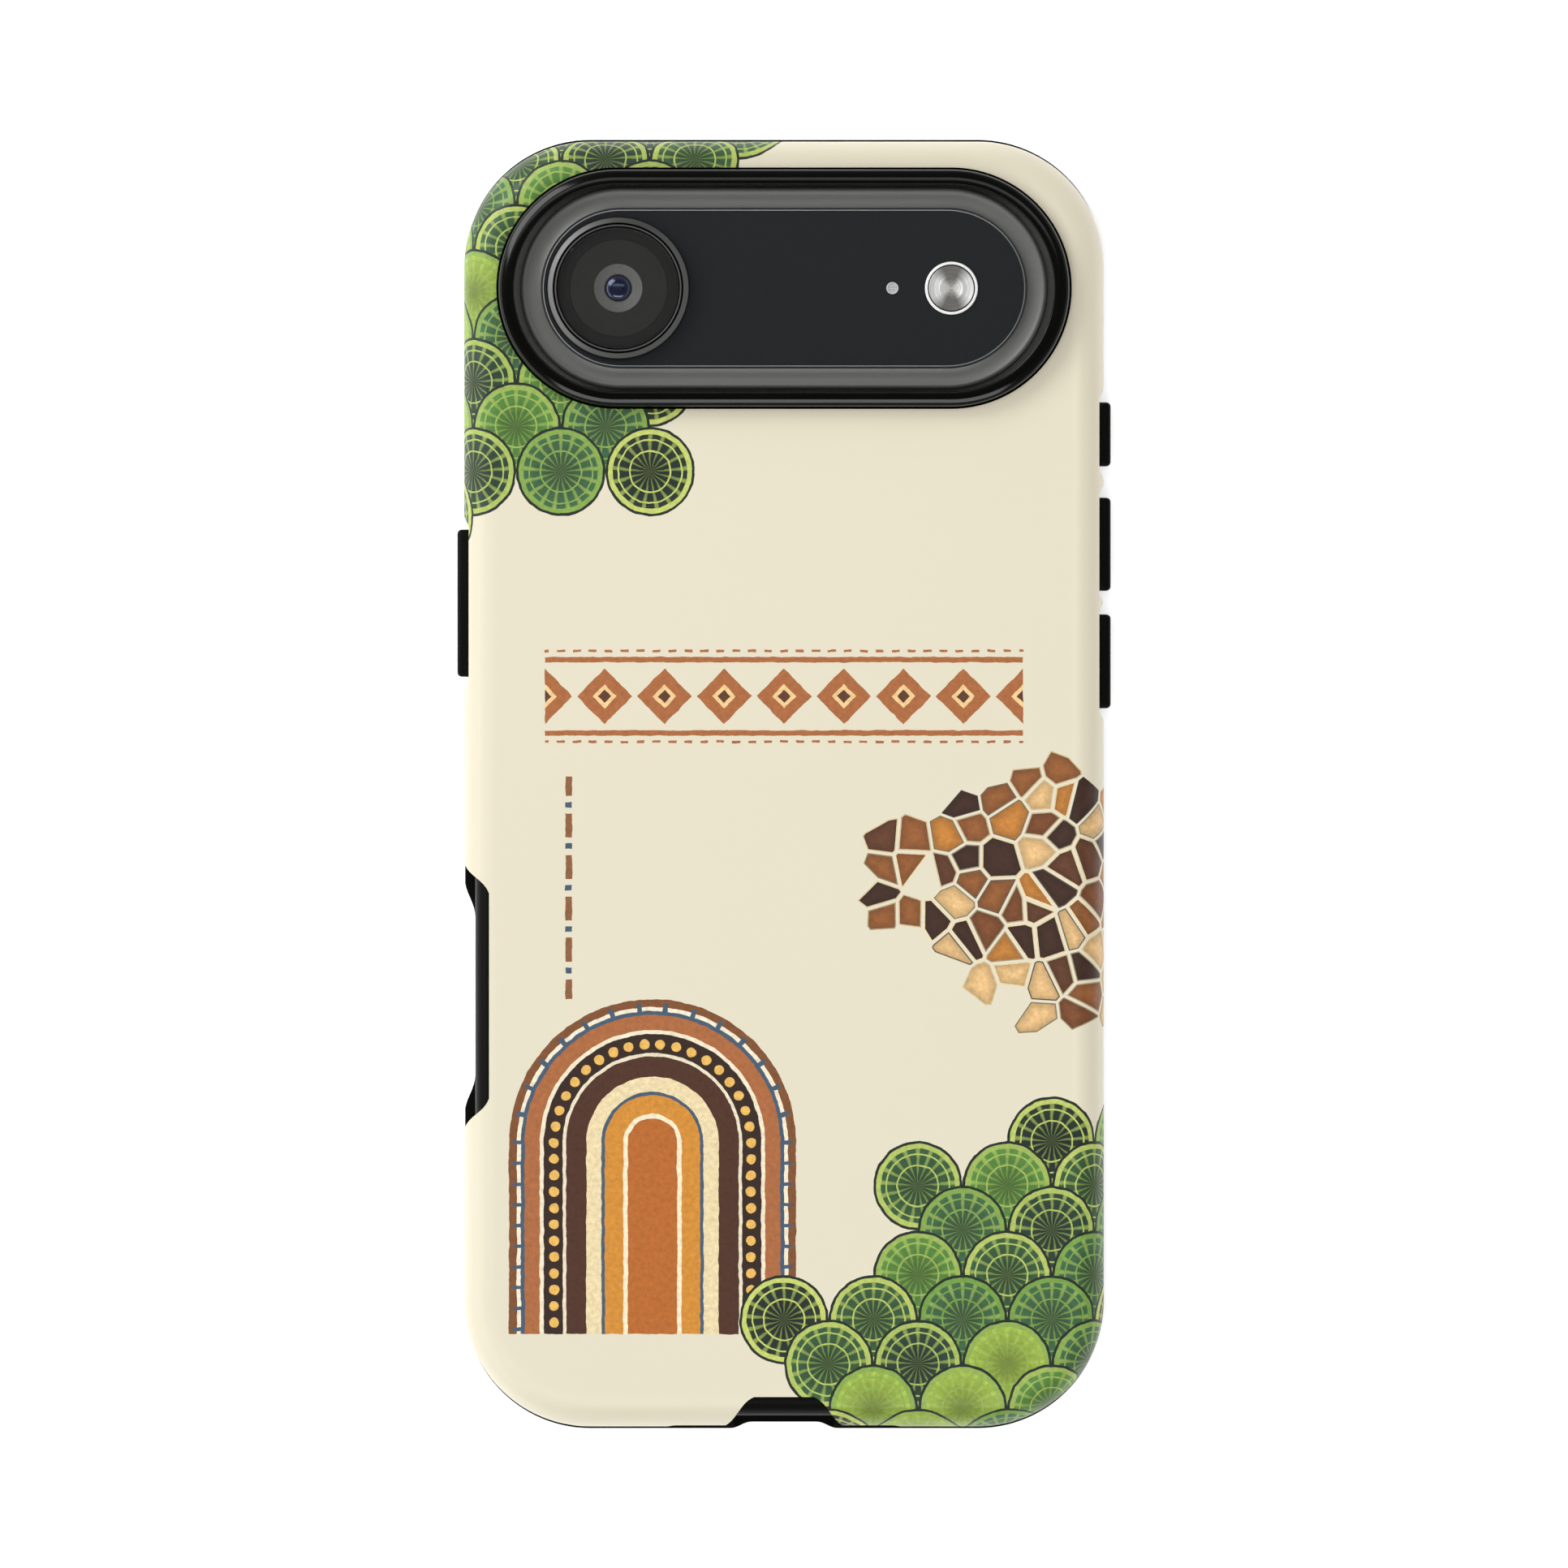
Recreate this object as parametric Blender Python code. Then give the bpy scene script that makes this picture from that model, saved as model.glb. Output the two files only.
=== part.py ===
"""A slim phone in a two-layer protective case, lying on its screen with the case's back up.

The case is a black rubber liner, which carries the button pads and the raised camera rim, inside a
hard shell whose back carries the print. Lengths are in metres. X runs across the phone, Y along it
towards the camera end, Z up. The origin is the middle of the surface that the case lies on.
"""

import math

import bmesh
import bpy

MM = 0.001

# The phone, and how thick the two layers of the case are round it
PHONE_WIDTH = 74.7 * MM
PHONE_LENGTH = 155.8 * MM
PHONE_THICKNESS = 5.64 * MM
PHONE_CORNER = 13.0 * MM
GLASS_THICKNESS = 0.5 * MM
FIT_GAP = 0.3 * MM
SEAM = 0.15 * MM
LINER_WALL = 1.1 * MM
SHELL_WALL = 1.1 * MM

# Heights above the table
LIP_HEIGHT = 1.0 * MM
PHONE_BACK = LIP_HEIGHT + PHONE_THICKNESS
LINER_FLOOR = PHONE_BACK + FIT_GAP
LINER_BACK = LINER_FLOOR + LINER_WALL
SHELL_FLOOR = LINER_BACK + FIT_GAP
SHELL_BACK = SHELL_FLOOR + SHELL_WALL
BUMPER_TOP = 2.15 * MM
SHELL_EDGE = BUMPER_TOP + FIT_GAP
RIM_TOP = SHELL_BACK + 3.1 * MM
PLATEAU_TOP = PHONE_BACK + 2.56 * MM
BAR_TOP = PLATEAU_TOP + 0.7 * MM
LENS_TOP = PHONE_BACK + 5.6 * MM

# Walls, as distances out from the phone's own outline
LINER_INSIDE = FIT_GAP
LINER_OUTSIDE = LINER_INSIDE + LINER_WALL
SHELL_INSIDE = LINER_OUTSIDE + FIT_GAP
SHELL_OUTSIDE = SHELL_INSIDE + SHELL_WALL
SHELL_EDGE_BEVEL = 0.2 * MM
BUMPER_SIDE = SHELL_OUTSIDE - 0.1 * MM
BUMPER_END = SHELL_OUTSIDE + 0.2 * MM
BUMPER_BEVEL = 0.35 * MM
LIP_OVERLAP = 1.1 * MM
CASE_SIDE = PHONE_WIDTH / 2 + SHELL_OUTSIDE
CASE_END = PHONE_LENGTH / 2 + SHELL_OUTSIDE
LINER_END = PHONE_LENGTH / 2 + BUMPER_END

# The rounded edges of the shell and the liner share one centre
SHOULDER_RADIUS = 3.6 * MM
SHOULDER_OFFSET = SHELL_OUTSIDE - SHOULDER_RADIUS
SHOULDER_HEIGHT = SHELL_BACK - SHOULDER_RADIUS
SHOULDER_STEPS = 5
CORNER_STEPS = 13

# Camera opening, the liner's raised rim round it, and the glass bar inside it
CAMERA_Y = 62.2 * MM
OPENING_LENGTH = 72.2 * MM
OPENING_WIDTH = 30.3 * MM
RIM_LENGTH = OPENING_LENGTH - 2 * FIT_GAP
RIM_WIDTH = OPENING_WIDTH - 2 * FIT_GAP
RIM_THICKNESS = 1.9 * MM
RIM_ROUND = 0.8 * MM
RIM_INNER_BEVEL = 0.35 * MM
PLATEAU_LENGTH = RIM_LENGTH - 2 * RIM_THICKNESS - 2 * FIT_GAP
PLATEAU_WIDTH = RIM_WIDTH - 2 * RIM_THICKNESS - 2 * FIT_GAP
PLATEAU_ROUND = 0.5 * MM
BAR_LENGTH = 60.5 * MM
BAR_WIDTH = 19.65 * MM
BAR_BEVEL = 0.15 * MM
BAR_SEAT = 0.4 * MM
CAMERA_STEPS = 14

# Lens, flash and microphone
LENS_X = -20.8 * MM
LENS_RADIUS = 8.86 * MM
LENS_GLASS_RADIUS = 7.6 * MM
LENS_STEP_RADIUS = 6.1 * MM
LENS_STEP_DEPTH = 0.12 * MM
LENS_WELL_RADIUS = 3.02 * MM
LENS_PUPIL_RADIUS = 1.61 * MM
LENS_DOME_HEIGHT = 0.55 * MM
LENS_LIP = 0.2 * MM
LENS_SEAT = 0.4 * MM
LENS_STEPS = 48
FLASH_X = 21.0 * MM
FLASH_RADIUS = 3.33 * MM
FLASH_LENS_RADIUS = 2.82 * MM
FLASH_PROUD = 0.3 * MM
FLASH_DISH_DEPTH = 0.18 * MM
FLASH_STEPS = 36
MICROPHONE_X = 13.6 * MM
MICROPHONE_RADIUS = 0.77 * MM
MICROPHONE_MESH_RADIUS = 0.58 * MM
MICROPHONE_PROUD = 0.15 * MM
MICROPHONE_STEPS = 20
SMALL_SEAT = 0.3 * MM
FINE_BEVEL = 0.1 * MM

# Button pads: side of the case, middle and length along Y
BUTTONS = {
    "power": (-1, 22.7 * MM, 18.5 * MM),
    "action": (1, 43.9 * MM, 8.05 * MM),
    "volume_up": (1, 30.1 * MM, 11.7 * MM),
    "volume_down": (1, 15.4 * MM, 11.8 * MM),
}
BUTTON_REACH = 0.86 * MM
BUTTON_LOW = 2.4 * MM
BUTTON_HIGH = 5.5 * MM
BUTTON_ROUND = 0.4 * MM
DIP_DEPTH = 0.58 * MM
DIP_SLOPE = 2.6 * MM

# Finger cut-out over the phone's touch control, on the power button's side
CONTROL_Y = -26.6 * MM
CONTROL_SHELL_LENGTH = 33.5 * MM
CONTROL_SHELL_FLAT = 25.7 * MM
CONTROL_SHELL_DEPTH = 3.15 * MM
CONTROL_LINER_LENGTH = 31.1 * MM
CONTROL_LINER_FLAT = 18.3 * MM
CONTROL_SLOT_LENGTH = 17.0 * MM
CONTROL_SLOT_LOW = 2.3 * MM
CONTROL_SLOT_HIGH = 5.3 * MM
CONTROL_PAD_LENGTH = 14.0 * MM
CONTROL_PAD_LOW = 2.9 * MM
CONTROL_PAD_HIGH = 4.7 * MM
CONTROL_POCKET_DEPTH = 0.8 * MM

# Plug cut-out at the bottom end, and the phone's socket behind it
PORT_SHELL_LENGTH = 14.9 * MM
PORT_SHELL_FLAT = 7.6 * MM
PORT_SHELL_DEPTH = 3.8 * MM
PORT_LINER_LENGTH = 14.0 * MM
PORT_LINER_FLAT = 7.6 * MM
PORT_LINER_DEPTH = 0.8 * MM
PORT_SLOT_WIDTH = 12.4 * MM
PORT_SLOT_LOW = 1.35 * MM
PORT_SLOT_HIGH = 6.35 * MM
SOCKET_WIDTH = 8.9 * MM
SOCKET_HEIGHT = 3.0 * MM
SOCKET_DEPTH = 6.5 * MM

NOTCH_STEPS = 5
CUT_MARGIN = 3.0 * MM
MERGE_DISTANCE = 0.001 * MM
SHARP_ANGLE = math.radians(35)


def material(name, colour, roughness, metallic=0.0):
    """A plain material with one colour, in linear light."""
    made = bpy.data.materials.new(name)
    made.use_nodes = True
    shader = made.node_tree.nodes["Principled BSDF"]
    shader.inputs["Base Color"].default_value = (*colour, 1.0)
    shader.inputs["Roughness"].default_value = roughness
    shader.inputs["Metallic"].default_value = metallic
    return made


def finish(name, bm, made_of=None):
    """Turns a bmesh into a smooth-shaded object whose faces point out."""
    bmesh.ops.recalc_face_normals(bm, faces=bm.faces)
    mesh = bpy.data.meshes.new(name)
    bm.to_mesh(mesh)
    bm.free()
    mesh.shade_smooth()
    mesh.set_sharp_from_angle(angle=SHARP_ANGLE)
    if made_of:
        mesh.materials.append(made_of)
    placed = bpy.data.objects.new(name, mesh)
    bpy.context.scene.collection.objects.link(placed)
    return placed


def arc(centre, radius, start_deg, end_deg, steps):
    """Points along an arc, from one angle to another, as (across, up) pairs."""
    points = []
    for step in range(steps + 1):
        angle = math.radians(start_deg + (end_deg - start_deg) * step / steps)
        points.append((centre[0] + radius * math.cos(angle), centre[1] + radius * math.sin(angle)))
    return points


def rounded_outline(half_x, half_y, radius):
    """Points anticlockwise round a rectangle with round corners, centred on the origin."""
    points = []
    for turn, (side_x, side_y) in enumerate([(1, 1), (-1, 1), (-1, -1), (1, -1)]):
        centre = (side_x * (half_x - radius), side_y * (half_y - radius))
        points += arc(centre, radius, 90 * turn, 90 * turn + 90, CORNER_STEPS)
    return points


def pill_outline(length, width):
    """Points anticlockwise round a shape with two straight sides along X and half-round ends."""
    radius = width / 2
    reach = length / 2 - radius
    right = arc((reach, 0.0), radius, -90, 90, 2 * CAMERA_STEPS)
    left = arc((-reach, 0.0), radius, 90, 270, 2 * CAMERA_STEPS)
    return right + left


def skin_rings(rings):
    """A closed bmesh over stacked rings of equal count, with a flat cap on the first and the last."""
    bm = bmesh.new()
    loops = [[bm.verts.new(point) for point in ring] for ring in rings]
    count = len(loops[0])
    for low, high in zip(loops, loops[1:]):
        for i in range(count):
            after = (i + 1) % count
            bm.faces.new((low[i], low[after], high[after], high[i]))
    bm.faces.new(loops[0])
    bm.faces.new(loops[-1])
    return bm


def round_slab(name, profile, made_of):
    """A body that follows the phone's outline. The profile holds (distance out, height), with a
    third value where the ends reach further out than the sides do."""
    rings = []
    for out, height, *further in profile:
        out_end = out + sum(further)
        outline = rounded_outline(
            PHONE_WIDTH / 2 + out, PHONE_LENGTH / 2 + out_end, PHONE_CORNER + out
        )
        rings.append([(x, y, height) for x, y in outline])
    return finish(name, skin_rings(rings), made_of)


def pill_body(name, length, width, profile, made_of=None):
    """A pill-shaped body at the camera. The profile holds (distance in from the outline, height)."""
    rings = []
    for inset, height in profile:
        outline = pill_outline(length - 2 * inset, width - 2 * inset)
        rings.append([(x, y + CAMERA_Y, height) for x, y in outline])
    return finish(name, skin_rings(rings), made_of)


def rounded_top(start, radius, top, steps):
    """Profile of a pill-shaped body that rises from a height to a rounded upper edge."""
    rise = arc((radius, top - radius), radius, 180, 90, steps)
    return [(0.0, start), *rise]


def turned_body(name, x, profile, steps, made_of=None, closed=False):
    """A body turned about the upright line at (x, CAMERA_Y). The profile holds (radius, height). An
    open one starts and ends on that line, and a closed one goes round a ring's section."""
    bm = bmesh.new()
    points = [bm.verts.new((x + radius, CAMERA_Y, height)) for radius, height in profile]
    edges = [bm.edges.new(pair) for pair in zip(points, points[1:])]
    if closed:
        edges.append(bm.edges.new((points[-1], points[0])))
    bmesh.ops.spin(
        bm,
        geom=points + edges,
        cent=(x, CAMERA_Y, 0),
        axis=(0, 0, 1),
        angle=2 * math.pi,
        steps=steps,
        use_merge=True,
    )
    bmesh.ops.remove_doubles(bm, verts=bm.verts, dist=MERGE_DISTANCE)
    return finish(name, bm, made_of)


def prism(name, outline, low, high):
    """An outline in plan, drawn up from one height to another."""
    rings = [[(x, y, height) for x, y in outline] for height in (low, high)]
    return finish(name, skin_rings(rings))


def box(name, low, high, round_edges=0.0, made_of=None):
    """A block between two corners, its edges rounded if asked."""
    bm = bmesh.new()
    bmesh.ops.create_cube(bm, size=1.0)
    size = [b - a for a, b in zip(low, high)]
    middle = [(a + b) / 2 for a, b in zip(low, high)]
    bmesh.ops.scale(bm, vec=size, verts=bm.verts)
    bmesh.ops.translate(bm, vec=middle, verts=bm.verts)
    if round_edges:
        bmesh.ops.bevel(
            bm, geom=bm.edges, offset=round_edges, segments=3, profile=0.5, affect="EDGES"
        )
    return finish(name, bm, made_of)


def change(target, operation, tools):
    """Cuts tools from the target, or joins them on, and hides them."""
    for tool in tools:
        modifier = target.modifiers.new(tool.name, "BOOLEAN")
        modifier.operation = operation
        modifier.solver = "EXACT"
        modifier.object = tool
        tool.hide_render = True
        tool.display_type = "WIRE"


def notch_outline(edge, depth, length, flat):
    """Plan of a notch with sloping ends in an edge that faces -Y, as (along, across) pairs. The
    slopes run as a smooth S from the edge to the notch's flat bottom."""
    points = [(-length / 2, edge - CUT_MARGIN)]
    slope = (length - flat) / 2
    for step in range(NOTCH_STEPS + 1):
        share = step / NOTCH_STEPS
        rise = share * share * (3 - 2 * share)
        points.append((-length / 2 + slope * share, edge + depth * rise))
    points += [(-along, across) for along, across in reversed(points)]
    return points


def side_notch(name, side, middle, depth, length, flat, heights):
    """A cutter for a notch in the case's left (-1) or right (1) side."""
    outline = [
        (-side * across, middle + side * along)
        for along, across in notch_outline(-CASE_SIDE, depth, length, flat)
    ]
    return prism(name, outline, *heights)


def end_notch(name, edge, depth, length, flat, heights):
    """A cutter for a notch in the middle of the bottom end."""
    return prism(name, notch_outline(-edge, depth, length, flat), *heights)


def button_dips(name, heights):
    """Cutters for the shallow dips that the case's outline has round the button pads."""
    return [
        side_notch(
            f"{name}_{button}", side, middle, DIP_DEPTH, length + 2 * DIP_SLOPE, length, heights
        )
        for button, (side, middle, length) in BUTTONS.items()
    ]


def side_box(name, side, middle, length, reach, low, high, round_edges=0.0):
    """A block on the left (-1) or right (1) side, between two distances out from the middle."""
    near, far = sorted(side * out for out in reach)
    corner = (near, middle - length / 2, low)
    opposite = (far, middle + length / 2, high)
    return box(name, corner, opposite, round_edges)


def make_shell(made_of):
    """The hard outer shell: back and sides, with its camera opening, button slots and notches."""
    centre = (SHOULDER_OFFSET, SHOULDER_HEIGHT)
    outer = arc(centre, SHOULDER_RADIUS, 90, 0, SHOULDER_STEPS)
    inner = arc(centre, SHOULDER_RADIUS - SHELL_WALL, 0, 90, SHOULDER_STEPS)
    edge = [
        (SHELL_OUTSIDE, SHELL_EDGE + SHELL_EDGE_BEVEL),
        (SHELL_OUTSIDE - SHELL_EDGE_BEVEL, SHELL_EDGE),
        (SHELL_INSIDE, SHELL_EDGE),
    ]
    shell = round_slab("shell", outer + edge + inner, made_of)
    heights = (SHELL_EDGE - CUT_MARGIN, SHELL_BACK + CUT_MARGIN)
    cutters = [
        pill_body(
            "shell_camera_opening",
            OPENING_LENGTH,
            OPENING_WIDTH,
            [(0.0, height) for height in heights],
        ),
        side_notch(
            "shell_control_notch",
            -1,
            CONTROL_Y,
            CONTROL_SHELL_DEPTH,
            CONTROL_SHELL_LENGTH,
            CONTROL_SHELL_FLAT,
            heights,
        ),
        end_notch(
            "shell_port_notch",
            CASE_END,
            PORT_SHELL_DEPTH,
            PORT_SHELL_LENGTH,
            PORT_SHELL_FLAT,
            heights,
        ),
        *button_dips("shell_dip", heights),
    ]
    for button, (side, middle, length) in BUTTONS.items():
        cutters.append(
            side_box(
                f"shell_slot_{button}",
                side,
                middle,
                length + 2 * FIT_GAP,
                (CASE_SIDE - CUT_MARGIN, CASE_SIDE + CUT_MARGIN),
                heights[0],
                BUTTON_HIGH + FIT_GAP,
            )
        )
    change(shell, "DIFFERENCE", cutters)


def make_liner(made_of):
    """The rubber liner: tray, front lip, bumper, button pads and the raised camera rim."""
    centre = (SHOULDER_OFFSET, SHOULDER_HEIGHT)
    outer_radius = SHOULDER_RADIUS - SHELL_WALL - FIT_GAP
    outer = arc(centre, outer_radius, 90, 0, SHOULDER_STEPS)
    inner = arc(centre, outer_radius - LINER_WALL, 0, 90, SHOULDER_STEPS - 2)
    further = BUMPER_END - BUMPER_SIDE
    bumper = [
        (LINER_OUTSIDE, BUMPER_TOP),
        (BUMPER_SIDE - BUMPER_BEVEL, BUMPER_TOP, further),
        (BUMPER_SIDE, BUMPER_TOP - BUMPER_BEVEL, further),
        (BUMPER_SIDE, 2 * BUMPER_BEVEL, further),
        (BUMPER_SIDE - BUMPER_BEVEL, BUMPER_BEVEL / 2, further),
        (BUMPER_SIDE - 2 * BUMPER_BEVEL, 0.0, further),
    ]
    lip = [
        (-LIP_OVERLAP + BUMPER_BEVEL, 0.0),
        (-LIP_OVERLAP, BUMPER_BEVEL),
        (-LIP_OVERLAP, LIP_HEIGHT - SEAM),
        (LINER_INSIDE, LIP_HEIGHT - SEAM),
    ]
    liner = round_slab("liner", outer + bumper + lip + inner, made_of)
    rim_foot = LINER_FLOOR + LINER_WALL / 3
    rim = rounded_top(rim_foot, RIM_ROUND, RIM_TOP, 4)
    added = [pill_body("liner_camera_rim", RIM_LENGTH, RIM_WIDTH, rim)]
    for button, (side, middle, length) in BUTTONS.items():
        added.append(
            side_box(
                f"liner_pad_{button}",
                side,
                middle,
                length,
                (PHONE_WIDTH / 2 + LINER_INSIDE + LINER_WALL / 2, CASE_SIDE + BUTTON_REACH),
                BUTTON_LOW,
                BUTTON_HIGH,
                BUTTON_ROUND,
            )
        )
    change(liner, "UNION", added)
    hole_length = RIM_LENGTH - 2 * RIM_THICKNESS + 2 * RIM_INNER_BEVEL
    hole_width = RIM_WIDTH - 2 * RIM_THICKNESS + 2 * RIM_INNER_BEVEL
    hole = [
        (RIM_INNER_BEVEL, LINER_FLOOR - CUT_MARGIN),
        (RIM_INNER_BEVEL, RIM_TOP - RIM_INNER_BEVEL),
        (0.0, RIM_TOP),
        (0.0, RIM_TOP + CUT_MARGIN),
    ]
    heights = (-CUT_MARGIN, BUMPER_TOP + FIT_GAP / 2)
    phone_side = PHONE_WIDTH / 2 - CUT_MARGIN
    cutters = [
        pill_body("liner_camera_opening", hole_length, hole_width, hole),
        side_notch(
            "liner_control_notch",
            -1,
            CONTROL_Y,
            SHELL_OUTSIDE - LINER_OUTSIDE,
            CONTROL_LINER_LENGTH,
            CONTROL_LINER_FLAT,
            heights,
        ),
        end_notch(
            "liner_port_notch",
            LINER_END,
            PORT_LINER_DEPTH,
            PORT_LINER_LENGTH,
            PORT_LINER_FLAT,
            heights,
        ),
        *button_dips("liner_dip", heights),
        side_box(
            "liner_control_slot",
            -1,
            CONTROL_Y,
            CONTROL_SLOT_LENGTH,
            (phone_side, CASE_SIDE + CUT_MARGIN),
            CONTROL_SLOT_LOW,
            CONTROL_SLOT_HIGH,
        ),
        box(
            "liner_port_slot",
            (-PORT_SLOT_WIDTH / 2, -LINER_END - CUT_MARGIN, PORT_SLOT_LOW),
            (PORT_SLOT_WIDTH / 2, -PHONE_LENGTH / 2 + CUT_MARGIN, PORT_SLOT_HIGH),
        ),
    ]
    change(liner, "DIFFERENCE", cutters)


def make_phone_frame(frame_metal, control_metal):
    """The phone's metal frame, with its socket, and the touch control sunk in its side."""
    low = LIP_HEIGHT + GLASS_THICKNESS + SEAM
    high = PHONE_BACK - GLASS_THICKNESS - SEAM
    frame = round_slab(
        "phone_frame",
        [
            (-0.25 * MM, low),
            (-0.05 * MM, low + 0.35 * MM),
            (0.0, low + 0.85 * MM),
            (0.0, high - 0.85 * MM),
            (-0.05 * MM, high - 0.35 * MM),
            (-0.25 * MM, high),
        ],
        frame_metal,
    )
    middle = LIP_HEIGHT + PHONE_THICKNESS / 2
    socket = box(
        "phone_socket",
        (-SOCKET_WIDTH / 2, -PHONE_LENGTH / 2 - CUT_MARGIN, middle - SOCKET_HEIGHT / 2),
        (SOCKET_WIDTH / 2, -PHONE_LENGTH / 2 + SOCKET_DEPTH, middle + SOCKET_HEIGHT / 2),
    )
    pocket = side_box(
        "phone_control_pocket",
        -1,
        CONTROL_Y,
        CONTROL_PAD_LENGTH + 2 * SEAM,
        (PHONE_WIDTH / 2 - CONTROL_POCKET_DEPTH, PHONE_WIDTH / 2 + CUT_MARGIN),
        CONTROL_PAD_LOW - SEAM,
        CONTROL_PAD_HIGH + SEAM,
    )
    change(frame, "DIFFERENCE", [socket, pocket])
    box(
        "phone_control",
        (-PHONE_WIDTH / 2 + SEAM, CONTROL_Y - CONTROL_PAD_LENGTH / 2, CONTROL_PAD_LOW),
        (
            -PHONE_WIDTH / 2 + CONTROL_POCKET_DEPTH - SEAM,
            CONTROL_Y + CONTROL_PAD_LENGTH / 2,
            CONTROL_PAD_HIGH,
        ),
        made_of=control_metal,
    )


def make_phone_glass(screen_glass, back_glass):
    """The phone's front glass, and its back glass with the plateau that the camera bar sits in."""
    edges = [-0.3 * MM, -0.45 * MM, -0.9 * MM]
    fall = 0.2 * MM
    front = [LIP_HEIGHT + GLASS_THICKNESS, LIP_HEIGHT + fall, LIP_HEIGHT]
    rear = [PHONE_BACK - GLASS_THICKNESS, PHONE_BACK - fall, PHONE_BACK]
    round_slab("phone_screen", list(zip(edges, front)), screen_glass)
    back = round_slab("phone_back", list(zip(edges, rear)), back_glass)
    plateau = rounded_top(PHONE_BACK - GLASS_THICKNESS / 2, PLATEAU_ROUND, PLATEAU_TOP, 4)
    change(back, "UNION", [pill_body("phone_plateau", PLATEAU_LENGTH, PLATEAU_WIDTH, plateau)])
    seat = pill_body(
        "phone_bar_seat",
        BAR_LENGTH + 2 * SEAM,
        BAR_WIDTH + 2 * SEAM,
        [(0.0, PLATEAU_TOP - BAR_SEAT), (0.0, PLATEAU_TOP + CUT_MARGIN)],
    )
    change(back, "DIFFERENCE", [seat])


def make_camera_bar(glass):
    """The black glass bar, with a seat sunk in it for the lens, the flash and the microphone."""
    bar = pill_body(
        "camera_bar",
        BAR_LENGTH,
        BAR_WIDTH,
        [(0.0, PLATEAU_TOP - BAR_SEAT + SEAM), (0.0, BAR_TOP - BAR_BEVEL), (BAR_BEVEL, BAR_TOP)],
        glass,
    )
    seats = {
        "lens": (LENS_X, LENS_RADIUS, LENS_SEAT, LENS_STEPS),
        "flash": (FLASH_X, FLASH_RADIUS, SMALL_SEAT, FLASH_STEPS),
        "microphone": (MICROPHONE_X, MICROPHONE_RADIUS, SMALL_SEAT, MICROPHONE_STEPS),
    }
    cutters = []
    for name, (x, radius, depth, steps) in seats.items():
        profile = [
            (0.0, BAR_TOP - depth),
            (radius + SEAM, BAR_TOP - depth),
            (radius + SEAM, BAR_TOP + CUT_MARGIN),
            (0.0, BAR_TOP + CUT_MARGIN),
        ]
        cutters.append(turned_body(f"bar_seat_{name}", x, profile, steps))
    change(bar, "DIFFERENCE", cutters)


def make_lens(ring_metal, clear_glass, barrel_black, coated_glass):
    """The camera: metal ring, cover glass, black barrel with its cone, and the front element."""
    foot = BAR_TOP - LENS_SEAT + SEAM
    bore = LENS_GLASS_RADIUS + SEAM
    groove_inside = bore + LENS_LIP
    groove_outside = groove_inside + 0.15 * MM
    groove_floor = LENS_TOP - 0.35 * MM
    turned_body(
        "lens_ring",
        LENS_X,
        [
            (bore, foot),
            (LENS_RADIUS, foot),
            (LENS_RADIUS, LENS_TOP - 0.4 * MM),
            (LENS_RADIUS - 0.12 * MM, LENS_TOP - 0.12 * MM),
            (LENS_RADIUS - 0.4 * MM, LENS_TOP),
            (groove_outside, LENS_TOP - 0.1 * MM),
            (groove_outside, groove_floor),
            (groove_inside, groove_floor),
            (groove_inside, LENS_TOP - 0.15 * MM),
            (bore, LENS_TOP - 0.15 * MM),
        ],
        LENS_STEPS,
        ring_metal,
        closed=True,
    )
    glass_top = LENS_TOP - 0.25 * MM
    glass_bottom = glass_top - GLASS_THICKNESS
    turned_body(
        "lens_cover",
        LENS_X,
        [
            (0.0, glass_bottom),
            (LENS_GLASS_RADIUS, glass_bottom),
            (LENS_GLASS_RADIUS, glass_top - FINE_BEVEL),
            (LENS_GLASS_RADIUS - FINE_BEVEL, glass_top),
            (0.0, glass_top),
        ],
        LENS_STEPS,
        clear_glass,
    )
    barrel_top = glass_bottom - SEAM
    step_top = barrel_top - LENS_STEP_DEPTH
    well_floor = foot + 0.7 * MM
    well_edge = well_floor + 0.5 * MM
    turned_body(
        "lens_barrel",
        LENS_X,
        [
            (0.0, foot),
            (LENS_GLASS_RADIUS, foot),
            (LENS_GLASS_RADIUS, barrel_top),
            (LENS_STEP_RADIUS, barrel_top),
            (LENS_STEP_RADIUS, step_top),
            (LENS_WELL_RADIUS, step_top),
            (LENS_PUPIL_RADIUS + SEAM, well_edge),
            (LENS_PUPIL_RADIUS + SEAM, well_floor),
            (0.0, well_floor),
        ],
        LENS_STEPS,
        barrel_black,
    )
    dome_foot = well_floor + FIT_GAP
    dome = [(0.0, well_floor + SEAM), (LENS_PUPIL_RADIUS, well_floor + SEAM)]
    for across, up in arc((0.0, 0.0), 1.0, 0, 75, 4):
        dome.append((LENS_PUPIL_RADIUS * across, dome_foot + LENS_DOME_HEIGHT * up))
    dome.append((0.0, dome_foot + LENS_DOME_HEIGHT))
    turned_body("lens_element", LENS_X, dome, LENS_STEPS // 2, coated_glass)


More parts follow.
